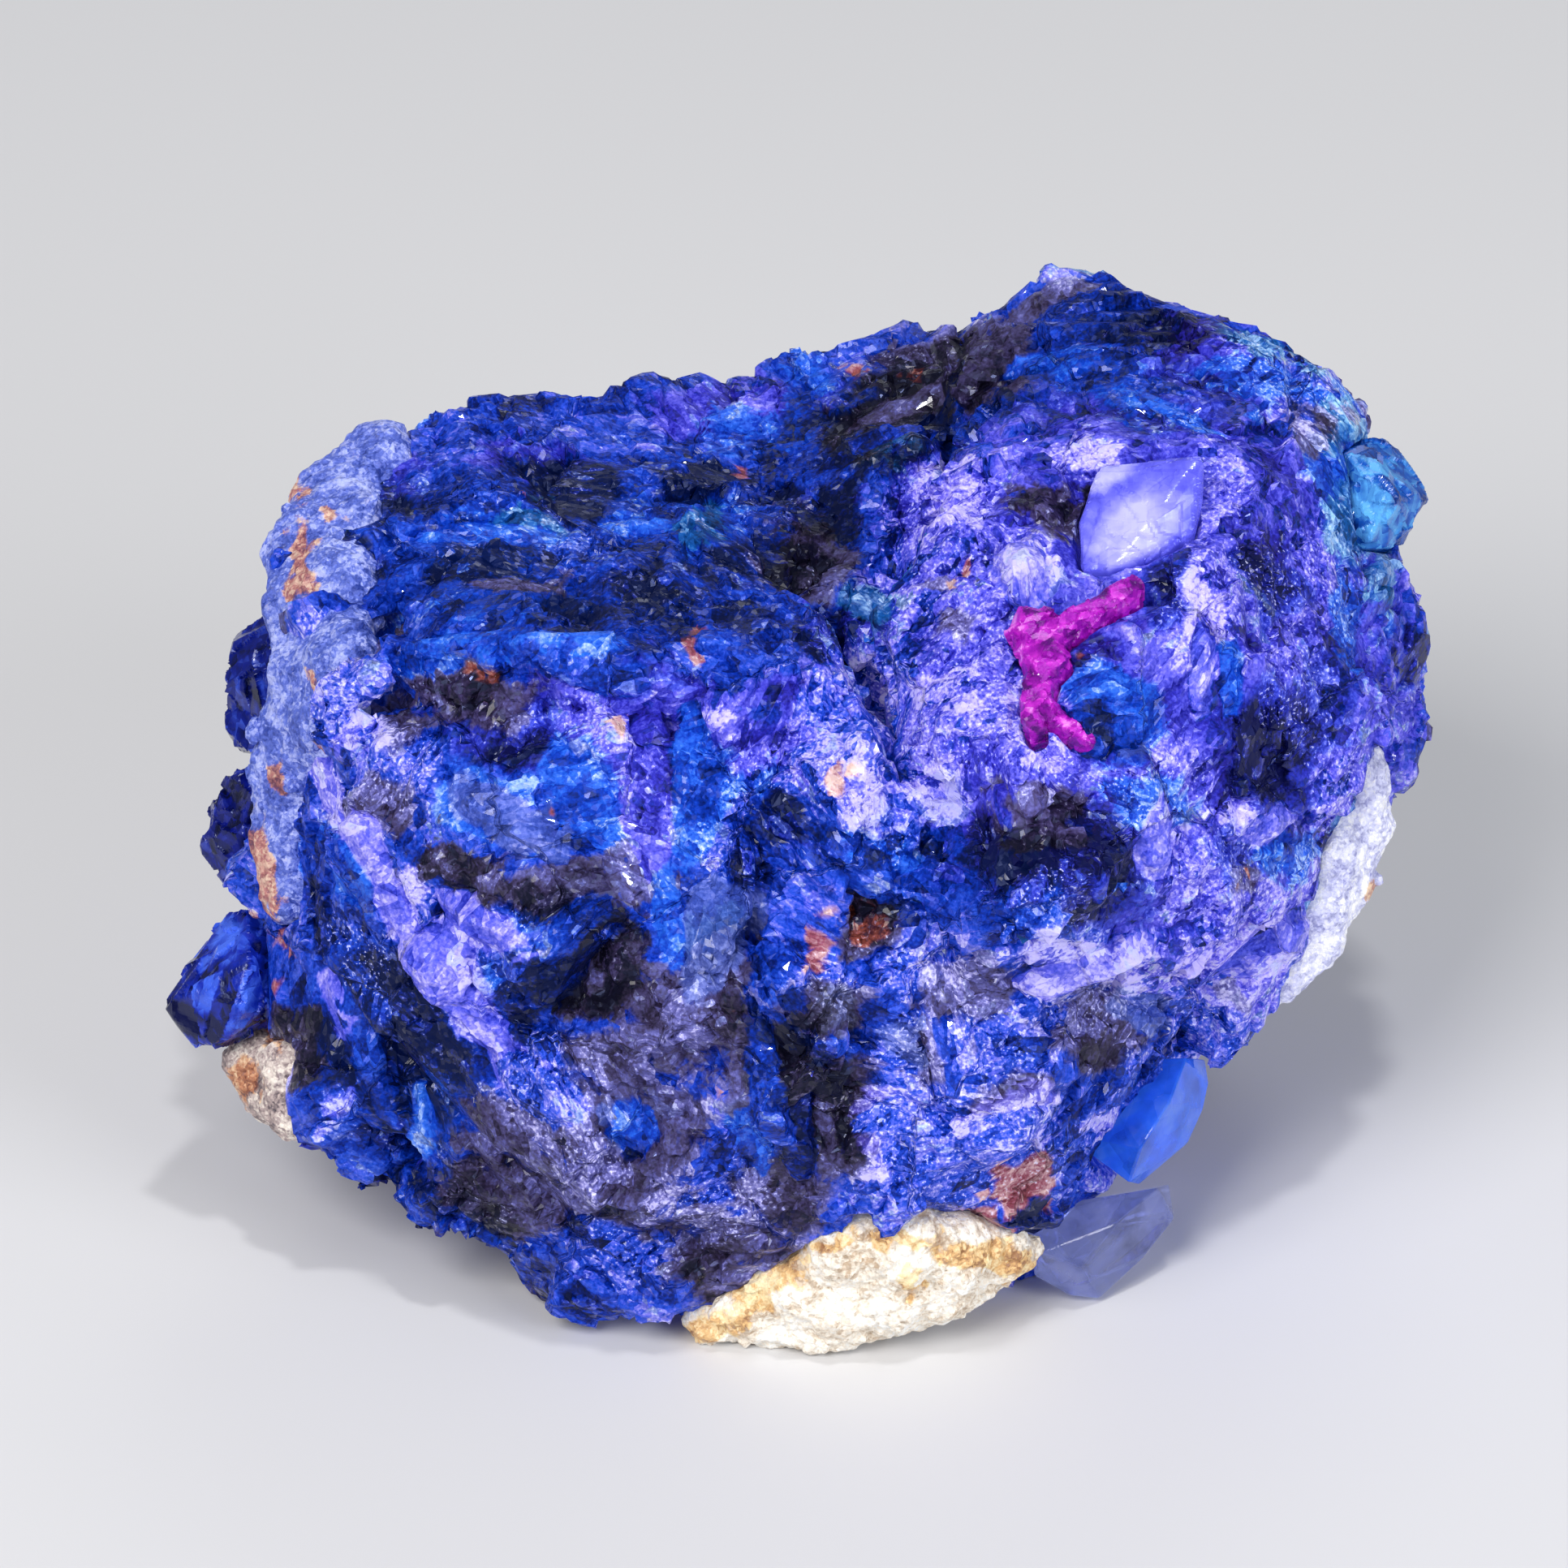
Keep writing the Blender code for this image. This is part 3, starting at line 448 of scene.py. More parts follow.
def cleaved(piece, spacing, most, tilt, area, fade):
    """Breaks a skin into long flat facets, which lean towards the cleavage planes of their crystal."""
    corners, normals = read(piece)
    out = unit(evened(piece, normals, FACET_EVENED))
    along, _ = drawn_out(corners)
    seeds = rng.choice(len(corners), int(area / spacing ** 2), replace=False)
    cell = nearest(along, tree_of(along[seeds]))
    count = np.maximum(np.bincount(cell, minlength=len(seeds)), 1)[:, None]
    middle = np.stack([np.bincount(cell, corners[:, i], len(seeds)) for i in range(3)], 1) / count
    facing = unit(np.stack([np.bincount(cell, out[:, i], len(seeds)) for i in range(3)], 1))
    plane, match = cleavage_near(middle, facing)
    share = np.where(match > NEAR_CLEAVAGE, tilt, 0)[:, None]
    plane = unit(facing * (1 - share) + plane * share + FACET_LOOSE * tilt * rng.normal(size=plane.shape))
    lean = np.maximum(np.einsum("ni,ni->n", out, plane[cell]), FACET_STEEPEST)
    shift = np.einsum("ni,ni->n", middle[cell] - corners, plane[cell]) / lean
    moved(piece, corners + out * (np.clip(shift, -most, most) * fade)[:, None])
    return rng.random(len(seeds))[cell]


def cleavage_near(points, facing):
    """The cleavage plane of the crystal at each point that is nearest to its facing, and how near it is."""
    planes = np.einsum("nij,kj->nki", grown_axes[nearest(points, grown_tree)], CLEAVAGE)
    match = np.einsum("nki,ni->nk", planes, facing)
    rows = np.arange(len(points))
    best = np.abs(match).argmax(axis=1)
    return planes[rows, best] * np.sign(match[rows, best])[:, None], np.abs(match[rows, best])


def terraced(piece, rise, fade):
    """Steps a skin in ledges that run with the cleavage planes of each crystal."""
    corners, normals = read(piece)
    out = unit(evened(piece, normals, TERRACE_EVENED))
    plane, match = cleavage_near(corners, out)
    level = np.einsum("ni,ni->n", corners, plane) / rise
    part = level - np.floor(level)
    flat = np.floor(level) + step(*TERRACE_RISER, part) - level
    share = fade * step(*TERRACE_FROM, match) * (1 - step(*TERRACE_UP_TO, match))
    moved(piece, corners + out * (flat * rise * share)[:, None])


def step(low, high, values):
    """Nought up to the low value, one from the high value, and a soft rise between them."""
    share = np.clip((values - low) / (high - low), 0, 1)
    return share * share * (3 - 2 * share)


corners, _ = read(mass)
fade = np.clip(room_to(corners, others)[0] / KEPT_CLEAR - FADE_START, 0, 1)
fade *= np.clip(corners[:, 2] / FOOT_FADE, 0, 1)
blade_room, _ = room_to(corners, face_shape)
fade *= np.clip(blade_room / BLADE_KEPT, BLADE_FADE, 1)
ledge = cleaved(mass, *FACETS[0], SKIN_AREA, fade)
terraced(mass, TERRACE, fade)
facet = cleaved(mass, *FACETS[1], SKIN_AREA, fade)
terraced(mass, TERRACE, fade)
corners, normals = read(mass)
corners += normals * SWELL * fade[:, None]
corners[:, 2] = np.maximum(corners[:, 2], 0)
moved(mass, corners)
# How deep each corner lies in a hollow, and how far out on a ridge: painted shade darkens the hollows and
# painted light lifts the ridges.
wide = evened(mass, corners, HOLLOW_SHADE_EVENED)
hollow_shades = evened(mass, np.einsum("ni,ni->n", wide - corners, normals)[:, None], 1)[:, 0]
dense_tree = tree_of(corners)
thinned(mass, MOST_TRIANGLES)

# Its zones of colour, as patches that the eye sees, with painted shade in the dark zone: middle across,
# middle down, half width and half height in the picture, and how far the patch leans, in degrees, where it
# does.
ZONES = {
    # The dark zone is navy fluorite, and painted shade in the slits and along the bottom edge.
    "dark": (
        (871, 600, 36, 22), (802, 721, 64, 26, 5), (940, 701, 62, 36), (641, 926, 34, 32),
        (552, 1083, 58, 30, 15), (1435, 412, 84, 22, 5), (1140, 470, 90, 46, -20), (1100, 540, 78, 42),
        (1012, 630, 54, 36), (1031, 776, 46, 38), (1436, 716, 30, 36, -30), (1362, 808, 50, 32, -20),
        (1561, 916, 46, 62), (1310, 1070, 90, 52), (984, 1346, 40, 100, 10), (728, 1605, 58, 20, 10),
        (697, 1516, 14, 18), (860, 1578, 26, 18, 30), (350, 1285, 36, 50), (735, 1185, 66, 76, 40),
        (700, 598, 76, 24, 5), (475, 610, 32, 16), (1290, 1522, 60, 32), (1308, 626, 62, 26, 10),
        (1742, 802, 18, 46), (475, 1290, 86, 120, -15), (955, 1000, 30, 36, 20), (1235, 1045, 44, 40),
        (1064, 1138, 26, 22), (890, 1250, 36, 26), (560, 850, 40, 20), (640, 1110, 60, 30, 20),
        (1025, 1380, 60, 40, 15), (560, 1470, 90, 30, 20), (1560, 700, 36, 34), (930, 1060, 22, 50, 5),
        (430, 700, 30, 60), (590, 690, 60, 40), (700, 770, 60, 24), (400, 1120, 26, 60, -20),
    ),
    "deep": (
        (700, 690, 300, 120, 4), (1120, 500, 150, 70, -20), (1353, 392, 56, 42, 10),
        (1110, 1075, 86, 62), (735, 816, 80, 40, 5), (475, 1300, 110, 150, -15), (1300, 1080, 120, 74),
        (984, 1346, 60, 120, 10), (590, 650, 130, 60, 10), (1380, 470, 140, 50, 10), (1561, 916, 60, 76),
        (1430, 716, 44, 40, -30), (690, 1165, 96, 78, -35), (800, 600, 120, 44), (1570, 711, 44, 40),
        (1290, 1522, 70, 38), (600, 900, 80, 50), (880, 700, 130, 50), (1742, 800, 22, 60),
        (560, 1500, 110, 40, 25), (1640, 860, 40, 70), (1200, 470, 120, 60, -15), (700, 800, 70, 50, 10),
        (1530, 1050, 60, 30), (950, 1250, 30, 90, 5), (330, 850, 30, 70),
    ),
    "azure": (
        (1640, 560, 36, 60), (1590, 470, 70, 26, 20), (1670, 760, 30, 60), (608, 665, 76, 32),
        (863, 643, 52, 26), (931, 528, 70, 24, -5), (544, 790, 92, 14, 5), (712, 980, 40, 74, 10),
        (621, 1007, 70, 42, 25), (682, 1150, 34, 84, 48), (531, 1372, 26, 40), (776, 1384, 38, 28),
        (930, 1385, 28, 52), (986, 485, 28, 60, 20), (1378, 886, 54, 44), (1530, 480, 60, 24, 20),
        (440, 1060, 24, 60, -20), (870, 980, 26, 60, 10), (1420, 980, 44, 40), (1060, 1060, 30, 40, 20),
        (790, 640, 60, 18), (600, 1500, 30, 18, 20), (640, 745, 110, 14, 5), (930, 960, 20, 40, 10),
        (1350, 480, 60, 24, 20), (1600, 1060, 40, 26),
    ),
    "pale": (
        (1180, 710, 90, 80), (1560, 720, 50, 50), (1200, 880, 140, 80, 10), (697, 676, 26, 22),
        (636, 877, 18, 16), (442, 903, 26, 20), (897, 885, 24, 14), (812, 960, 50, 84, 5),
        (640, 1010, 50, 34, 30), (404, 960, 22, 34, -35), (455, 1040, 20, 44, -35),
        (500, 1120, 22, 44, -20), (545, 1190, 22, 40, -35), (598, 1262, 24, 46, -35),
        (640, 1320, 24, 40, -25), (600, 1160, 84, 38, 15), (417, 1254, 12, 34, -10), (412, 1380, 14, 30),
        (670, 1346, 66, 62), (774, 1540, 60, 34, 10), (1170, 634, 62, 60), (1341, 577, 40, 22),
        (1264, 710, 34, 48), (1478, 770, 40, 98, -8), (1648, 511, 26, 24), (1072, 1002, 48, 66),
        (1166, 968, 48, 40), (1428, 1036, 34, 52), (1535, 1015, 54, 32), (1548, 1160, 112, 60, -10),
        (1514, 1253, 80, 50), (1336, 1203, 96, 58, 10), (1117, 1305, 52, 38), (1180, 1415, 140, 74, 5),
        (1357, 1386, 36, 26), (1373, 1473, 24, 22), (1585, 460, 80, 54, 20), (1100, 840, 80, 60, 10),
        (1200, 820, 60, 60), (1180, 900, 80, 50), (1290, 940, 50, 40), (1640, 700, 50, 80),
        (1650, 960, 40, 60, 10), (1010, 930, 50, 50), (400, 820, 30, 80), (470, 960, 40, 30, 20),
        (870, 1000, 40, 60), (720, 1440, 60, 40, 10), (880, 1480, 60, 50), (440, 1180, 30, 60, -20),
        (1500, 600, 30, 60), (1010, 1200, 40, 40), (1240, 1290, 60, 40), (1600, 840, 50, 80),
        (1430, 960, 60, 50), (1490, 1080, 80, 40), (1640, 1060, 40, 50), (1390, 1310, 40, 30),
        (1480, 1330, 50, 30), (1290, 1120, 50, 30), (930, 950, 50, 40), (740, 905, 50, 30),
        (500, 930, 50, 30, 10), (1130, 1200, 50, 40),
    ),
    "brown": (
        (562, 852, 80, 40), (659, 727, 40, 12), (465, 984, 44, 36), (552, 1083, 58, 30, 15),
        (684, 1100, 80, 34, 10), (735, 1190, 66, 70, 40), (845, 1257, 84, 54), (634, 1464, 80, 50, 20),
        (888, 1545, 80, 60), (1170, 450, 110, 54, -15), (1080, 530, 60, 36, -20), (1178, 770, 26, 24),
        (1164, 708, 22, 16), (1308, 628, 66, 28, 10), (1616, 527, 34, 26), (1365, 1266, 70, 52),
        (1185, 1229, 70, 50), (1025, 1370, 68, 54, 10), (1022, 1229, 54, 38), (1064, 1138, 34, 28),
        (350, 1285, 36, 50), (1522, 1237, 18, 14), (1545, 1080, 22, 16), (1000, 690, 60, 50),
        (790, 1080, 50, 30), (430, 1560, 40, 30), (760, 1320, 60, 36, 20), (960, 1470, 60, 40, 10),
        (700, 1380, 80, 50, 10), (760, 1470, 90, 50, 10), (940, 1310, 60, 50), (1010, 1430, 60, 40),
        (820, 1390, 50, 60), (1240, 1350, 50, 30), (560, 1560, 50, 20, 20), (900, 1200, 40, 60),
        (1290, 1010, 60, 30), (600, 1400, 50, 30), (1140, 1310, 30, 30), (500, 890, 40, 26),
    ),
    "rust": (
        (909, 589, 8, 8), (853, 793, 12, 8), (764, 888, 14, 9), (860, 880, 20, 8), (578, 829, 12, 9),
        (390, 660, 10, 30), (1051, 962, 13, 14), (1009, 1156, 16, 32), (1266, 1460, 30, 30, -40),
        (1200, 1498, 30, 26), (1230, 1440, 8, 30, 30), (690, 980, 6, 26, 20), (1345, 823, 12, 10),
        (1064, 1140, 14, 12), (909, 1247, 9, 8), (868, 1326, 9, 8), (330, 1180, 12, 50, -15),
        (1112, 462, 9, 8), (1049, 446, 9, 8), (1540, 1075, 10, 8), (1185, 700, 8, 12),
    ),
    "teal": (
        (1655, 520, 34, 30, 30), (1670, 640, 40, 60), (1596, 418, 46, 18, 22), (1690, 614, 30, 44),
        (1712, 700, 20, 46), (1072, 740, 22, 24), (863, 643, 34, 18), (1100, 545, 40, 26),
        (880, 1160, 40, 40), (1022, 1229, 30, 30), (650, 640, 40, 16), (450, 653, 8, 6),
        (1540, 420, 40, 16, 22), (940, 1300, 14, 30),
    ),
    "branch": (
        (402, 958, 18, 40, -35), (450, 1034, 18, 44, -38), (492, 1112, 18, 46, -18),
        (536, 1186, 18, 44, -42), (588, 1246, 20, 42, -36), (622, 1300, 20, 30, -20),
        (600, 1152, 76, 22, 22), (560, 1190, 60, 20, 30), (417, 1254, 9, 36, -12), (411, 1380, 11, 32),
        (436, 905, 28, 18), (897, 885, 22, 10), (1341, 577, 40, 16), (1264, 712, 28, 40),
        (1072, 985, 34, 44), (1160, 962, 40, 26), (1357, 1388, 34, 20), (1100, 1400, 60, 40, 10),
        (1240, 1380, 60, 44), (1330, 1190, 80, 26, 14), (1530, 1010, 44, 20), (670, 1346, 50, 26, 10),
        (1148, 850, 60, 20, 20), (1480, 780, 22, 80, -8), (1170, 620, 40, 36), (1520, 1180, 70, 26, -10),
        (1290, 930, 20, 40), (1440, 1050, 18, 40),
    ),
    "slab": (
        (880, 1148, 52, 74), (625, 1005, 60, 24, 28), (662, 1030, 34, 14, 28), (700, 975, 30, 60, 12),
        (1378, 886, 44, 34), (1166, 985, 34, 26), (1290, 735, 16, 30), (1110, 1300, 36, 24),
        (1400, 1236, 40, 26), (820, 985, 26, 70, 5), (776, 1384, 30, 18), (668, 1176, 16, 50, 46),
    ),
    "violet": (
        (1420, 800, 330, 330), (1560, 1120, 180, 130), (760, 900, 240, 70, 5), (498, 576, 36, 24),
        (402, 666, 20, 18), (970, 855, 36, 28), (1593, 590, 56, 42), (1326, 1104, 34, 18),
        (1400, 640, 60, 60), (1180, 640, 80, 70), (1600, 760, 60, 90), (1500, 950, 60, 60),
        (620, 560, 70, 18, 5), (820, 850, 80, 40), (1250, 950, 70, 60), (1450, 1100, 110, 60),
        (1500, 460, 90, 50, 10), (900, 500, 120, 40, -5),
    ),
}
# How much of the rest of the specimen each zone takes, and the size of its patches there.
ZONE_SHARES = {
    "dark": (0.20, 7.0), "deep": (0.34, 10.0), "azure": (0.16, 6.0), "pale": (0.36, 7.5),
    "brown": (0.24, 9.0), "rust": (0.05, 5.0), "teal": (0.07, 9.0), "violet": (0.30, 12.0),
    "branch": (0.12, 4.0), "slab": (0.06, 4.5),
}
# The ragged edges of the patches: the size of their teeth, and how far these reach in the picture.
ZONE_RAGGED = ((3.2, 26.0), (1.0, 12.0))
PATCH_EDGE = (0.55, 1.45)
ELSEWHERE_FINE = 0.25
ELSEWHERE_EDGE = 0.07
FACING_EVENED = 12
FACING_EYE = (-0.15, 0.25)
ON_BLADE = (0.16, 0.4)
BLADE_COLOURED = 0.95
# The most that the painted shade of hollows and the painted light of ridges may reach.
HOLLOW_SHADE_MOST = 2
CLOUD_SIZE = 2.2
CLOUD_SPREAD = 0.72
CLOUD_ASIDE = Vector((17.3, -9.1, 31.7))


def clouds(points, size, which=0):
    """Smooth random values from 0 to 1 that change over a size (mm)."""
    aside = CLOUD_ASIDE * which
    values = [noise.noise(Vector(point) / size + aside) for point in points]
    return np.clip(0.5 + CLOUD_SPREAD * np.array(values), 0, 1)


def keep(piece, name, values):
    """One value for each corner, for the material to read."""
    field = piece.data.attributes.new(name, "FLOAT", "POINT")
    field.data.foreach_set("value", values.astype(np.float32))


def patch(across, down, zone):
    """How much of a zone's patches is at each place of the picture."""
    most = np.zeros(len(across))
    for middle, level, half_wide, half_high, *lean in zone:
        cosine = math.cos(math.radians(sum(lean)))
        sine = math.sin(math.radians(sum(lean)))
        x = across - middle
        y = down - level
        far = np.hypot((cosine * x + sine * y) / half_wide, (cosine * y - sine * x) / half_high)
        most = np.maximum(most, 1 - step(*PATCH_EDGE, far))
    return most


corners, normals = read(mass)
matched = nearest(corners, dense_tree)
across, down = as_seen(corners)
for number, (size, shift) in enumerate(ZONE_RAGGED):
    across += shift * (2 * clouds(corners, size, 2 * number) - 1)
    down += shift * (2 * clouds(corners, size, 2 * number + 1) - 1)
facing = step(*FACING_EYE, unit(evened(mass, normals, FACING_EVENED)) @ eye_back)
blade_room, triangle = room_to(corners, face_shape)
on_blade = 1 - step(*ON_BLADE, blade_room)
blade_zone = np.array([blade[-1] for blade in FACE_BLADES])[blade_of[triangle]]
for number, (zone, patches) in enumerate(ZONES.items()):
    share, size = ZONE_SHARES[zone]
    elsewhere = clouds(corners, size, 10 + number) * (1 - ELSEWHERE_FINE)
    elsewhere += clouds(corners, size / 3, 20 + number) * ELSEWHERE_FINE
    limit = np.quantile(elsewhere, 1 - share)
    elsewhere = step(limit - ELSEWHERE_EDGE, limit + ELSEWHERE_EDGE, elsewhere)
    amount = facing * patch(across, down, patches) + (1 - facing) * elsewhere
    keep(mass, zone, amount + on_blade * ((blade_zone == zone) * BLADE_COLOURED - amount))
# The hollows and ridges, kept for the painted shade and painted light of the colour.
keep(mass, "dip", np.clip(hollow_shades[matched], -HOLLOW_SHADE_MOST, HOLLOW_SHADE_MOST))
keep(mass, "facet", facet[matched])
keep(mass, "ledge", ledge[matched])
keep(mass, "cloud", clouds(corners, CLOUD_SIZE, 31))
along, crystal = drawn_out(corners)
keep(mass, "crystal", rng.random(CRYSTALS)[crystal])
long_places = mass.data.attributes.new("along", "FLOAT_VECTOR", "POINT")
long_places.data.foreach_set("vector", along.astype(np.float32).ravel())


# How far light bends in fluorite, and how many shards, splinters and grains of dust lie along a mm.
FLUORITE_IOR = 1.434
SHARDS = 1.25
SPLINTERS = 3.6
DUST = 5.0
BLUE_GLOSS = (0.4, 0.5, 1.0, 1.0)


class Finish:
    """A socket of a material. Sums on it add Math nodes, and node() adds any other node."""

    def __init__(self, tree, socket=None):
        self.tree = tree
        self.socket = socket

    def node(self, kind, settings=None, inputs=None, output=0):
        made = self.tree.nodes.new(kind)
        for name, value in (settings or {}).items():
            if name == "stops":
                while len(made.color_ramp.elements) < len(value):
                    made.color_ramp.elements.new(1.0)
                for element, (place, colour) in zip(made.color_ramp.elements, value):
                    element.position = place
                    element.color = colour
            else:
                setattr(made, name, value)
        for place, value in (inputs or {}).items():
            if isinstance(value, Finish):
                self.tree.links.new(value.socket, made.inputs[place])
            else:
                made.inputs[place].default_value = value
        return Finish(self.tree, made.outputs[output])

    def also(self, output):
        """Another output of the node that this socket belongs to."""
        return Finish(self.tree, self.socket.node.outputs[output])

    def into(self, node, socket):
        self.tree.links.new(self.socket, node.inputs[socket])

    def sum(self, operation, *values, clamp=False):
        settings = {"operation": operation, "use_clamp": clamp}
        return self.node("ShaderNodeMath", settings, dict(enumerate(values)))

    def __add__(self, other):
        return self.sum("ADD", self, other)

    def __sub__(self, other):
        return self.sum("SUBTRACT", self, other)

    def __rsub__(self, other):
        return self.sum("SUBTRACT", other, self)

    def __mul__(self, other):
        return self.sum("MULTIPLY", self, other)

    __radd__ = __add__
    __rmul__ = __mul__

    def clamped(self):
        return self.sum("ADD", self, 0.0, clamp=True)

    def between(self, low, high):
        """Nought up to the low value, one from the high value, and a soft rise between them."""
        inputs = {"Value": self, "From Min": low, "From Max": high}
        return self.node("ShaderNodeMapRange", {"interpolation_type": "SMOOTHSTEP"}, inputs)

    def vector(self, operation, other, output="Vector"):
        return self.node("ShaderNodeVectorMath", {"operation": operation}, {0: self, 1: other}, output)

    def mixed(self, other, share):
        """This colour, with a share of the other laid over it."""
        settings = {"data_type": "RGBA", "clamp_factor": True}
        return self.node("ShaderNodeMix", settings, {0: share, 6: self, 7: other}, 2)

    def ramp(self, *stops):
        """The colour at this value, between colours given as on a screen."""
        colours = [(place, screen_colour(*colour)) for place, colour in stops]
        return self.node("ShaderNodeValToRGB", {"stops": colours}, {0: self})

    def clouds(self, scale, detail=3.0, output="Fac"):
        """Soft noise at these places."""
        inputs = {"Vector": self, "Scale": scale, "Detail": detail}
        return self.node("ShaderNodeTexNoise", None, inputs, output)

    def grains(self, scale):
        """Random cells at these places: their height as facets that lean, a random value and the lean."""
        own = self.node("ShaderNodeTexVoronoi", None, {"Vector": self, "Scale": scale}, "Color")
        lean = own.vector("SUBTRACT", (0.5, 0.5, 0.5))
        height = self.vector("SUBTRACT", own.also("Position")).vector("DOT_PRODUCT", lean, "Value")
        return height, own.node("ShaderNodeSeparateColor", None, {0: own}), lean

    def drawn_out(self, lean, share):
        """These places squeezed along each cell's lean, so that what is made at them comes out long."""
        line = lean.vector("NORMALIZE", (0, 0, 0))
        far = self.vector("DOT_PRODUCT", line, "Value") * share
        shift = line.node("ShaderNodeVectorMath", {"operation": "SCALE"}, {0: line, "Scale": far})
        return self.vector("SUBTRACT", shift)

    def field(self, name, output="Fac"):
        """A value kept for each corner of the mesh."""
        return self.node("ShaderNodeAttribute", {"attribute_name": name}, output=output)


def screen_colour(*colour):
    """A colour given as 0 to 255 on a screen, as the light it stands for."""
    light = [((c / 255 + 0.055) / 1.055) ** 2.4 if c > 10 else c / 255 / 12.92 for c in colour]
    return (*light, 1.0)


def new_finish(piece, name, **settings):
    """A material on the piece, its shader, and its places in mm to start sums from."""
    material = bpy.data.materials.new(name)
    material.use_nodes = True
    material.cycles.emission_sampling = "NONE"
    shader = material.node_tree.nodes["Principled BSDF"]
    for socket, value in settings.items():
        shader.inputs[socket.replace("_", " ")].default_value = value
    start = Finish(material.node_tree)
    places = start.node("ShaderNodeTexCoord", output="Object").vector("MULTIPLY", (1 / MM,) * 3)
    piece.data.materials.clear()
    piece.data.materials.append(material)
    return shader, places


def coloured_with_painted_glow(shader, colour):
    """The shader's colour, and that of its faint glow: painted light, for the specimen gives light though
    it is no lamp.
    """
    colour.into(shader, "Base Color")
    colour.into(shader, "Emission Color")


def bumped(shader, height, strength=1.0):
    """The shader's surface raised by a height in mm."""
    settings = {"Height": height, "Distance": MM, "Strength": strength}
    height.node("ShaderNodeBump", None, settings, "Normal").into(shader, "Normal")


shader, places = new_finish(
    mass, "fluorite", IOR=FLUORITE_IOR, Emission_Strength=0.1, Specular_IOR_Level=0.35,
    Specular_Tint=BLUE_GLOSS, Coat_Roughness=0.06, Coat_IOR=FLUORITE_IOR,
)
along = places.field("along", "Vector")
shard_height, shard, _ = along.grains(SHARDS)
splinter_height, splinter, _ = along.grains(SPLINTERS)
dust = places.clouds(DUST, 2.0)
big = places.field("crystal")
ledge = places.field("ledge")
own = places.field("facet")
dip = places.field("dip")
cloud = places.field("cloud")


def zone_share(name, loose=1.0, crisp=3.2):
    """How far a place belongs to a zone: whole shards go over to it, and few stay halfway."""
    chance = (ledge - 0.5) * 0.3 + (shard - 0.5) * 0.5 + (splinter - 0.5) * 0.3 + (own - 0.5) * 0.3
    return ((places.field(name) - 0.5 + chance * loose) * crisp + 0.5).clamped()


dark = zone_share("dark")
deep = zone_share("deep")
azure = zone_share("azure")
pale = zone_share("pale", 1.4, 2.4)
brown = zone_share("brown")
rust = zone_share("rust", 0.55)
teal = zone_share("teal")
violet = zone_share("violet", 1.4, 2.4)
branch = zone_share("branch", 0.5, 4.0)
slab = zone_share("slab", 0.4, 5.0)
# Light and dark: each crystal, facet and shard has its own, and dark zones are darker. Hollows are darker
# and ridges lighter: painted shade and painted light.
tone = 0.41 + (own - 0.5) * 0.2 + (big - 0.5) * 0.14 + (ledge - 0.5) * 0.16 + (shard - 0.5) * 0.26
tone = tone + shard_height * 0.35 + (splinter - 0.5) * (0.2 + pale * 0.12)
tone = tone + (dust - 0.5) * (0.6 + pale * 0.5) + (cloud - 0.5) * 0.24
tone = tone + pale * 0.2 + branch * 0.26 - dark * 0.3 - deep * 0.17 - dip * 0.22
tone = tone.clamped()
# The colours of each zone, from dark to light.
blue = tone.ramp(
    (0.0, (1, 8, 46)), (0.18, (2, 20, 94)), (0.36, (8, 44, 158)), (0.52, (32, 70, 196)),
    (0.68, (80, 94, 216)), (0.84, (128, 128, 232)), (1.0, (192, 190, 252)),
)
azure_blue = tone.ramp(
    (0.0, (2, 18, 70)), (0.35, (8, 54, 176)), (0.65, (40, 106, 226)), (1.0, (150, 190, 252)),
)
violet_blue = tone.ramp(
    (0.0, (16, 6, 64)), (0.35, (54, 40, 180)), (0.65, (114, 100, 232)), (1.0, (198, 186, 252)),
)
smoke = tone.ramp(
    (0.0, (14, 11, 18)), (0.22, (44, 34, 38)), (0.42, (70, 60, 78)), (0.6, (88, 84, 134)),
    (0.8, (122, 120, 184)), (1.0, (186, 182, 232)),
)
sea = tone.ramp((0.0, (4, 26, 50)), (0.45, (20, 92, 152)), (1.0, (150, 212, 240)))
iron = tone.ramp((0.0, (60, 20, 24)), (0.4, (160, 80, 56)), (1.0, (240, 200, 170)))
milk = tone.ramp(
    (0.0, (24, 36, 100)), (0.4, (62, 82, 168)), (0.7, (110, 126, 208)), (1.0, (184, 192, 244)),
)
colour = blue.mixed(violet_blue, violet * 0.6).mixed(azure_blue, (azure * 0.85 + deep * 0.3).clamped())
colour = colour.mixed(sea, teal * 0.7)
colour = colour.mixed(smoke, brown * 0.85).mixed(milk, slab * 0.7).mixed(violet_blue, branch * 0.4)
colour = colour.mixed(iron, rust * 0.8)
# Pale specks in the pale zones: painted glints, standing in for the sparkle of the crushed grains.
colour = colour.mixed(screen_colour(214, 216, 255), dust.between(0.62, 0.68) * pale * 0.6)
coloured_with_painted_glow(shader, colour)
glint = splinter.between(0.7, 0.76)
(0.37 + pale * 0.12 - slab * 0.15 - glint * 0.2 + (dust - 0.5) * 0.2).clamped().into(shader, "Roughness")
(glint * (0.5 + pale * 0.5) + slab * 0.3).clamped().into(shader, "Coat Weight")
bumped(shader, shard_height * 0.34 + splinter_height * 0.45)

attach(mass, "root")
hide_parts("fluorite_mass")


# The rough crystals. Dark blue and teal fluorite, broken and chipped all over, on the left edge and
# the right one. They and the cloudy tablet are a touch larger than their sockets, as grown in.
GROWN_IN = 0.2
CRYSTAL_VOXEL = 0.14
CHIP_LEAN = 0.5
CHIP_SQUEEZE = 0.66
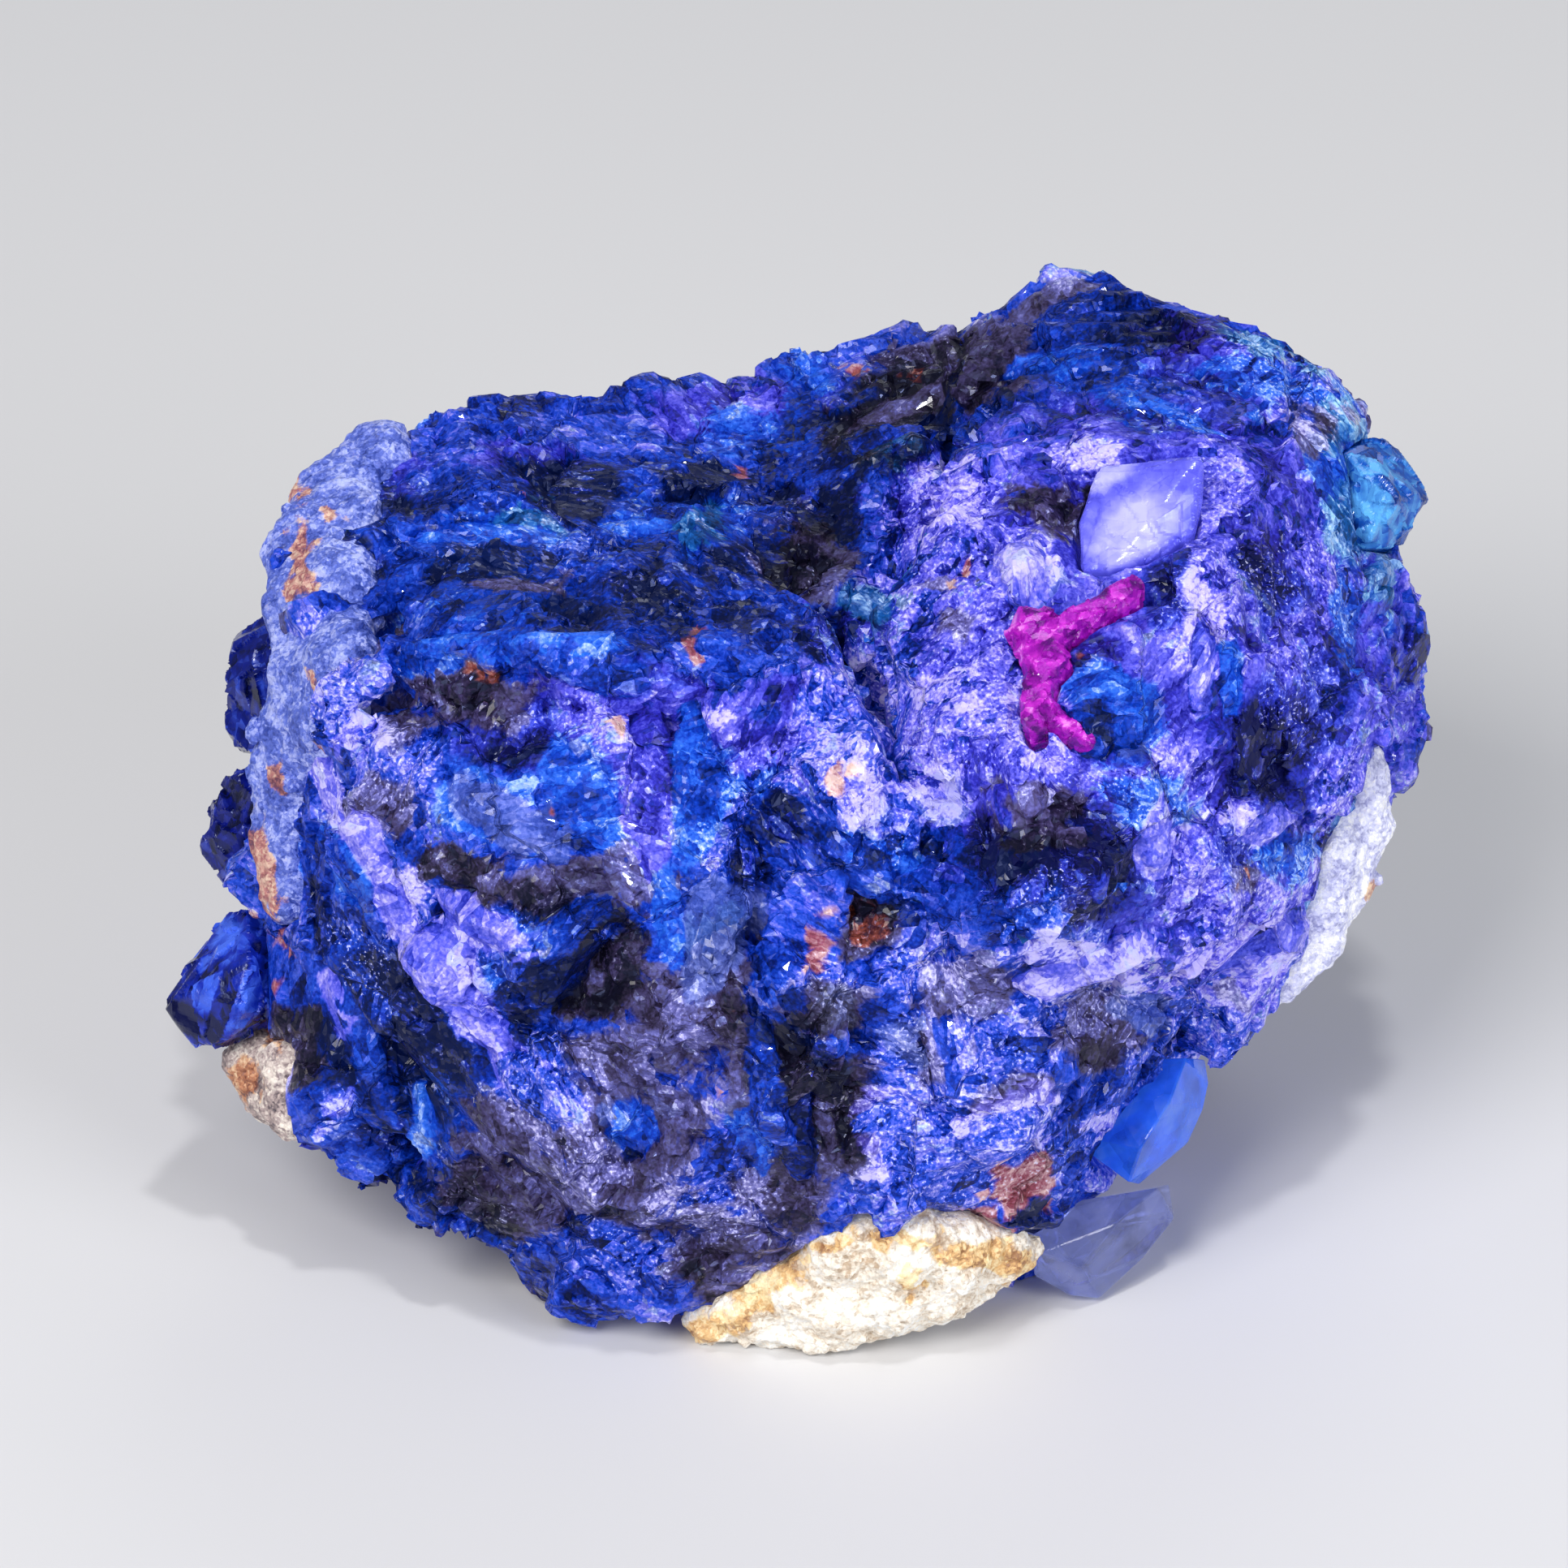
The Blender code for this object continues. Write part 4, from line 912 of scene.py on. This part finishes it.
# Slot, the spacing of the chips and the most that one takes off, and the colours from dark to light.
ROUGH = {
    "pointed_crystal": ("deep_blue_fluorite", (2.4, 0.12), (4, 8, 60), (16, 40, 170), (70, 110, 240)),
    "upper_left_crystal": ("deep_blue_fluorite", (2.0, 0.2), (2, 5, 44), (8, 24, 126), (50, 80, 200)),
    "lower_left_crystal": ("deep_blue_fluorite", (2.0, 0.2), (2, 5, 44), (10, 22, 124), (64, 84, 200)),
    "teal_crystal": ("teal_fluorite", (2.0, 0.15), (5, 40, 116), (18, 84, 182), (92, 172, 236)),
    "tabular_crystal": ("pale_fluorite", (2.6, 0.05), (34, 34, 168), (102, 102, 234), (184, 182, 252)),
}
# Their lit and shaded faces, as patches in the picture: painted light and painted shade in their colour.
PAINTED_LIGHT_PATCHES = (
    (1396, 655, 60, 38, -35), (1352, 585, 50, 18, -20), (285, 1160, 20, 26), (1690, 615, 26, 40),
)
PAINTED_SHADE_PATCHES = ((1400, 718, 70, 22, -24), (350, 1180, 20, 60), (240, 1260, 40, 16, 30))


def grown(piece, by):
    """The piece larger all round by so much (mm)."""
    corners, normals = read(piece)
    return moved(piece, corners + normals * by)


for name, (slot, (spacing, most), low_tint, tint, high_tint) in ROUGH.items():
    crystal = fused(new_piece(name.replace("_crystal", "_fluorite"), node_shape(name)), CRYSTAL_VOXEL)
    grown(crystal, GROWN_IN)
    count = len(crystal.data.vertices)
    chips = cleaved(crystal, spacing, most, CHIP_LEAN, count * CRYSTAL_VOXEL ** 2, np.ones(count))
    across, down = as_seen(read(crystal)[0])
    keep(crystal, "facet", chips)
    keep(crystal, "bright", patch(across, down, PAINTED_LIGHT_PATCHES) - patch(across, down, PAINTED_SHADE_PATCHES))
    shader, places = new_finish(
        crystal, slot, IOR=FLUORITE_IOR, Transmission_Weight=0.12, Emission_Strength=0.1,
        Specular_Tint=(0.5, 0.6, 1.0, 1.0), Coat_Weight=0.25, Coat_Roughness=0.1,
    )
    veil = places.clouds(1.0, 4.0)
    _, _, lean = places.grains(0.5)
    height, chip, _ = places.drawn_out(lean, CHIP_SQUEEZE).grains(1.8)
    flat = 0.25 if name == "tabular_crystal" else 1.0
    chipped = (chip - 0.5) * 0.34 + (places.field("facet") - 0.5) * 0.5 + height * 0.5
    shade = (veil - 0.5) * (0.4 + flat * 0.6) + chipped * flat
    # The lit and shaded faces are painted into the tone: painted light and painted shade.
    shade = (0.45 + shade + places.field("bright") * 0.4).clamped()
    stain = shade.ramp((0.12, low_tint), (0.5, tint), (0.92, high_tint))
    coloured_with_painted_glow(shader, stain)
    (0.22 + (veil - 0.5) * 0.4).clamped().into(shader, "Roughness")
    bumped(shader, height * 0.14 + veil * 0.08, flat)
    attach(crystal, "root")
    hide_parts(name)


# The two glassy crystals at the lower right, whole and see-through: one bright blue, one grey-blue and
# clear. Their faces are flat and polished by nature, with edges only a little worn.
CRYSTAL_EDGE = 0.12
SAME_CORNER = 0.01
SAME_FACE = math.radians(3)
WORN_EDGE = math.radians(12)
# Slot, colour, the light let through, how fast it fades, how clear the crystal is, and how rough.
GLASSY = {
    "blue_crystal": ("glassy_blue_fluorite", (60, 130, 255), (0.10, 0.40, 1.00), 90.0, 0.6, 0.05),
    "clear_crystal": ("clear_fluorite", (170, 180, 230), (0.42, 0.48, 0.80), 200.0, 0.92, 0.06),
}


def whole_crystal(name):
    """A packed crystal with its flat faces whole, a touch larger, and its edges worn."""
    crystal = new_piece(name.replace("_crystal", "_fluorite"), node_shape(name))
    reworked(crystal, "WELD", merge_threshold=SAME_CORNER * MM)
    reworked(crystal, "DECIMATE", decimate_type="DISSOLVE", angle_limit=SAME_FACE)
    corners, _ = read(crystal)
    low = corners.min(axis=0)
    high = corners.max(axis=0)
    corners = (low + high) / 2 + (corners - (low + high) / 2) * (1 + 2 * GROWN_IN / (high - low))
    corners[:, 2] = np.maximum(corners[:, 2], 0)
    moved(crystal, corners)
    worn = {"width": CRYSTAL_EDGE * MM, "segments": 2, "limit_method": "ANGLE", "angle_limit": WORN_EDGE}
    return reworked(crystal, "BEVEL", **worn)


for name, (slot, tint, kept_light, density, clearness, rough) in GLASSY.items():
    crystal = whole_crystal(name)
    shader, places = new_finish(
        crystal, slot, IOR=FLUORITE_IOR, Transmission_Weight=clearness, Emission_Strength=0.14,
    )
    inside = {"Color": (*kept_light, 1.0), "Density": density}
    absorbed = places.node("ShaderNodeVolumeAbsorption", None, inside)
    absorbed.into(shader.id_data.nodes["Material Output"], "Volume")
    veil = places.clouds(0.5, 4.0)
    height, chip, _ = places.grains(0.5)
    dimmer = tuple(c * 0.7 for c in tint)
    lighter = tuple(c + (255 - c) * 0.3 for c in tint)
    shade = ((veil - 0.5) * 1.2 + (chip - 0.5) * 0.2 + 0.5).clamped()
    stain = shade.ramp((0.2, dimmer), (0.55, tint), (0.9, lighter))
    coloured_with_painted_glow(shader, stain)
    (rough + veil.between(0.55, 0.8) * 0.25).clamped().into(shader, "Roughness")
    bumped(shader, height * 0.05 + veil * 0.04)
    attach(crystal, "root")
    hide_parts(name)


# The magenta crystals. A few slim bars of pink fluorite, waxy and with soft edges, grown into one
# another and into the mass below the pale tablet. They are one skin here, in small flat faces.
PINK_VOXEL = 0.1
PINK_FACES = (0.9, 0.12, 0.6)
pink = grown(fused(new_piece("pink_fluorite", node_shape("pink_crystals")), PINK_VOXEL), GROWN_IN)
count = len(pink.data.vertices)
keep(pink, "facet", cleaved(pink, *PINK_FACES, count * PINK_VOXEL ** 2, np.ones(count)))
shader, places = new_finish(
    pink, "pink_fluorite", IOR=FLUORITE_IOR, Emission_Strength=0.14, Transmission_Weight=0.1,
    Coat_Weight=0.3, Coat_Roughness=0.12, Specular_Tint=(0.9, 0.5, 1.0, 1.0),
)
height, chip, _ = places.grains(2.6)
veil = places.clouds(0.9, 4.0)
shade = (veil - 0.5) * 1.5 + (chip - 0.5) * 0.3 + (places.field("facet") - 0.5) * 0.4 + 0.46
stain = shade.clamped().ramp(
    (0.1, (80, 6, 106)), (0.45, (152, 14, 170)), (0.75, (198, 44, 202)), (0.98, (240, 156, 246)),
)
coloured_with_painted_glow(shader, stain)
(0.3 + (veil - 0.5) * 0.5).clamped().into(shader, "Roughness")
bumped(shader, height * 0.3 + places.clouds(5.0, 3.0) * 0.06)
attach(pink, "root")
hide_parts("pink_crystals")


# The crusts and the matrix. Fine quartz and weathered fluorite, in grains of a third to a whole
# millimetre, stained by iron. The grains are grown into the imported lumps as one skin.
CRUST_IOR = 1.5
CRUST_VOXEL = 0.16
LUMP_VOXEL = 0.3
# How far the gaps between the lumps are closed before the grains go on.
LUMPS_CLOSED = {"left_crust": 2.6, "right_crust": 1.2, "left_matrix": 0.5, "foot_matrix": 0.3}
LUMP_EVENED = 8
MOSTLY_FINE = 1.8
GRAIN_SHAPE = (0.7, 1.0)
GRAIN_PROUD = (0.0, 0.6)
GRAINS_GROWN = 0.12
POWDER = 0.24
STAIN_RAGGED = 16
RUST = ((110, 52, 34), (186, 112, 60), (236, 196, 150))
OCHRE = ((150, 92, 36), (224, 170, 84), (252, 230, 170))
GREY = ((34, 56, 146), (86, 106, 202), (174, 184, 244))
WHITE = ((140, 142, 196), (208, 210, 242), (252, 252, 255))
BUFF = ((70, 60, 70), (176, 158, 156), (240, 230, 220))
CREAM = ((190, 166, 140), (244, 234, 218), (255, 254, 250))
# Slot, how many grains and their half sizes, and the colours of the crust and of its stains.
CRUSTS = {
    "left_crust": ("grey_crust", 1700, (0.1, 0.36), GREY, RUST),
    "right_crust": ("white_crust", 900, (0.1, 0.36), WHITE, RUST),
    "left_matrix": ("quartz_matrix", 600, (0.1, 0.36), BUFF, RUST),
    "foot_matrix": ("quartz_matrix", 1800, (0.16, 0.6), CREAM, OCHRE),
}
CRUST_STAINS = {
    "left_crust": (
        (371, 690, 15, 56), (412, 636, 12, 10), (381, 839, 10, 12), (315, 1066, 16, 84, -15),
        (368, 600, 10, 16), (345, 960, 8, 20),
    ),
    "right_crust": (
        (1690, 1100, 8, 16),
    ),
    "left_matrix": (
        (300, 1330, 20, 30), (340, 1270, 20, 20), (330, 1180, 12, 40),
    ),
    "foot_matrix": (
        (1106, 1525, 56, 16, 5), (940, 1585, 70, 24, -42), (1227, 1552, 84, 20, 10),
        (868, 1636, 44, 20, -10), (1020, 1535, 30, 12, -30), (1120, 1580, 12, 16),
    ),
}

for name, (slot, grain_count, grain_half, tints, stain_tints) in CRUSTS.items():
    lumps = fused(new_piece("lumps", node_shape(name)), LUMP_VOXEL)
    fused(grown(lumps, LUMPS_CLOSED[name]), LUMP_VOXEL)
    moved(lumps, evened(lumps, read(lumps)[0], LUMP_EVENED))
    corners = read(grown(lumps, -LUMPS_CLOSED[name]))[0]
    lumps.data.calc_loop_triangles()
    triangles = np.array([triangle.vertices[:] for triangle in lumps.data.loop_triangles])
    bpy.data.objects.remove(lumps)
    spots, outward = spots_on((corners, triangles), grain_count, rng)
    size = grain_half[0] + (grain_half[1] - grain_half[0]) * rng.random(grain_count) ** MOSTLY_FINE
    halves = size[:, None] * rng.uniform(*GRAIN_SHAPE, (grain_count, 3))
    axes = turns(grain_count, rng)
    proud = size * rng.uniform(*GRAIN_PROUD, grain_count)
    grains = cleavage_blades(spots, outward, axes, halves, proud)
    crust = new_piece(name.replace("_matrix", "_quartz") + "_grains", joined((corners, triangles), grains))
    grown(one_body(fused(crust, CRUST_VOXEL)), GRAINS_GROWN)
    corners, normals = read(crust)
    corners += normals * (POWDER * clouds(corners, 0.5, 5))[:, None]
    corners[:, 2] = np.maximum(corners[:, 2], 0)
    moved(crust, corners)
    across, down = as_seen(corners)
    across += STAIN_RAGGED * (2 * clouds(corners, 1.2, 6) - 1)
    down += STAIN_RAGGED * (2 * clouds(corners, 1.2, 7) - 1)
    keep(crust, "stain", patch(across, down, CRUST_STAINS[name]))
    shader, places = new_finish(crust, slot, IOR=CRUST_IOR, Emission_Strength=0.08)
    height, chip, _ = places.grains(2.4)
    fine_height, fine, _ = places.grains(5.5)
    cloud = places.clouds(0.6, 4.0)
    dust = places.clouds(6.0, 3.0)
    shade = (cloud - 0.5) * 1.6 + (chip - 0.5) * 0.4 + (fine - 0.5) * 0.4 + (dust - 0.5) * 0.6
    shade = (shade + 0.55).clamped()
    colour = shade.ramp(*zip((0.05, 0.5, 0.95), tints))
    iron = shade.ramp(*zip((0.1, 0.5, 0.9), stain_tints))
    share = ((places.field("stain") - 0.5 + (chip - 0.5) * 0.5 + (dust - 0.5) * 0.8) * 2.4 + 0.5).clamped()
    coloured_with_painted_glow(shader, colour.mixed(iron, share * 0.8))
    (0.6 + (fine - 0.5) * 0.6).clamped().into(shader, "Roughness")
    bumped(shader, height * 0.35 + fine_height * 0.5 + dust * 0.05)
    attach(crust, "root")
    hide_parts(name)


# The table and the light of a plain studio: a pale top, one large soft lamp above and to the left of
# the eye, a weaker one on the right, a faint one behind, and a small one above for the glints.
TABLE_HALF = 1200.0
# Where each lamp is, how wide it is, its power in watts and the tint of its light.
LAMPS = {
    "main_lamp": ((-330, -540, 600), 420, 6.0, (1.0, 0.98, 0.96)),
    "side_lamp": ((520, -480, 340), 400, 3.0, (0.94, 0.96, 1.0)),
    "back_lamp": ((120, 620, 560), 360, 0.8, (0.95, 0.97, 1.0)),
    "glint_lamp": ((60, -160, 720), 50, 1.2, (1.0, 1.0, 1.0)),
}
sheet = np.array(((-1, -1, 0), (1, -1, 0), (1, 1, 0), (-1, 1, 0))) * TABLE_HALF
table = new_piece("table_top", (sheet, np.array(((0, 1, 2), (0, 2, 3)))))
new_finish(table, "pale_table", Base_Color=screen_colour(214, 214, 216), Roughness=0.7)
for name, (place, width, power, tint) in LAMPS.items():
    light = bpy.data.lights.new(name, "AREA")
    light.energy = power
    light.size = width * MM
    light.color = tint
    lamp = bpy.data.objects.new(name, light)
    lamp.location = Vector(place) * MM
    lamp.rotation_euler = Vector(place).to_track_quat("Z", "Y").to_euler()
    bpy.context.scene.collection.objects.link(lamp)
world = bpy.data.worlds.new("studio")
world.use_nodes = True
world.node_tree.nodes["Background"].inputs["Color"].default_value = (0.92, 0.95, 1.0, 1.0)
world.node_tree.nodes["Background"].inputs["Strength"].default_value = 0.2
bpy.context.scene.world = world
bpy.context.scene.view_settings.view_transform = "Standard"
bpy.context.scene.cycles.diffuse_bounces = 2
bpy.context.scene.cycles.glossy_bounces = 2
bpy.context.scene.cycles.transmission_bounces = 6
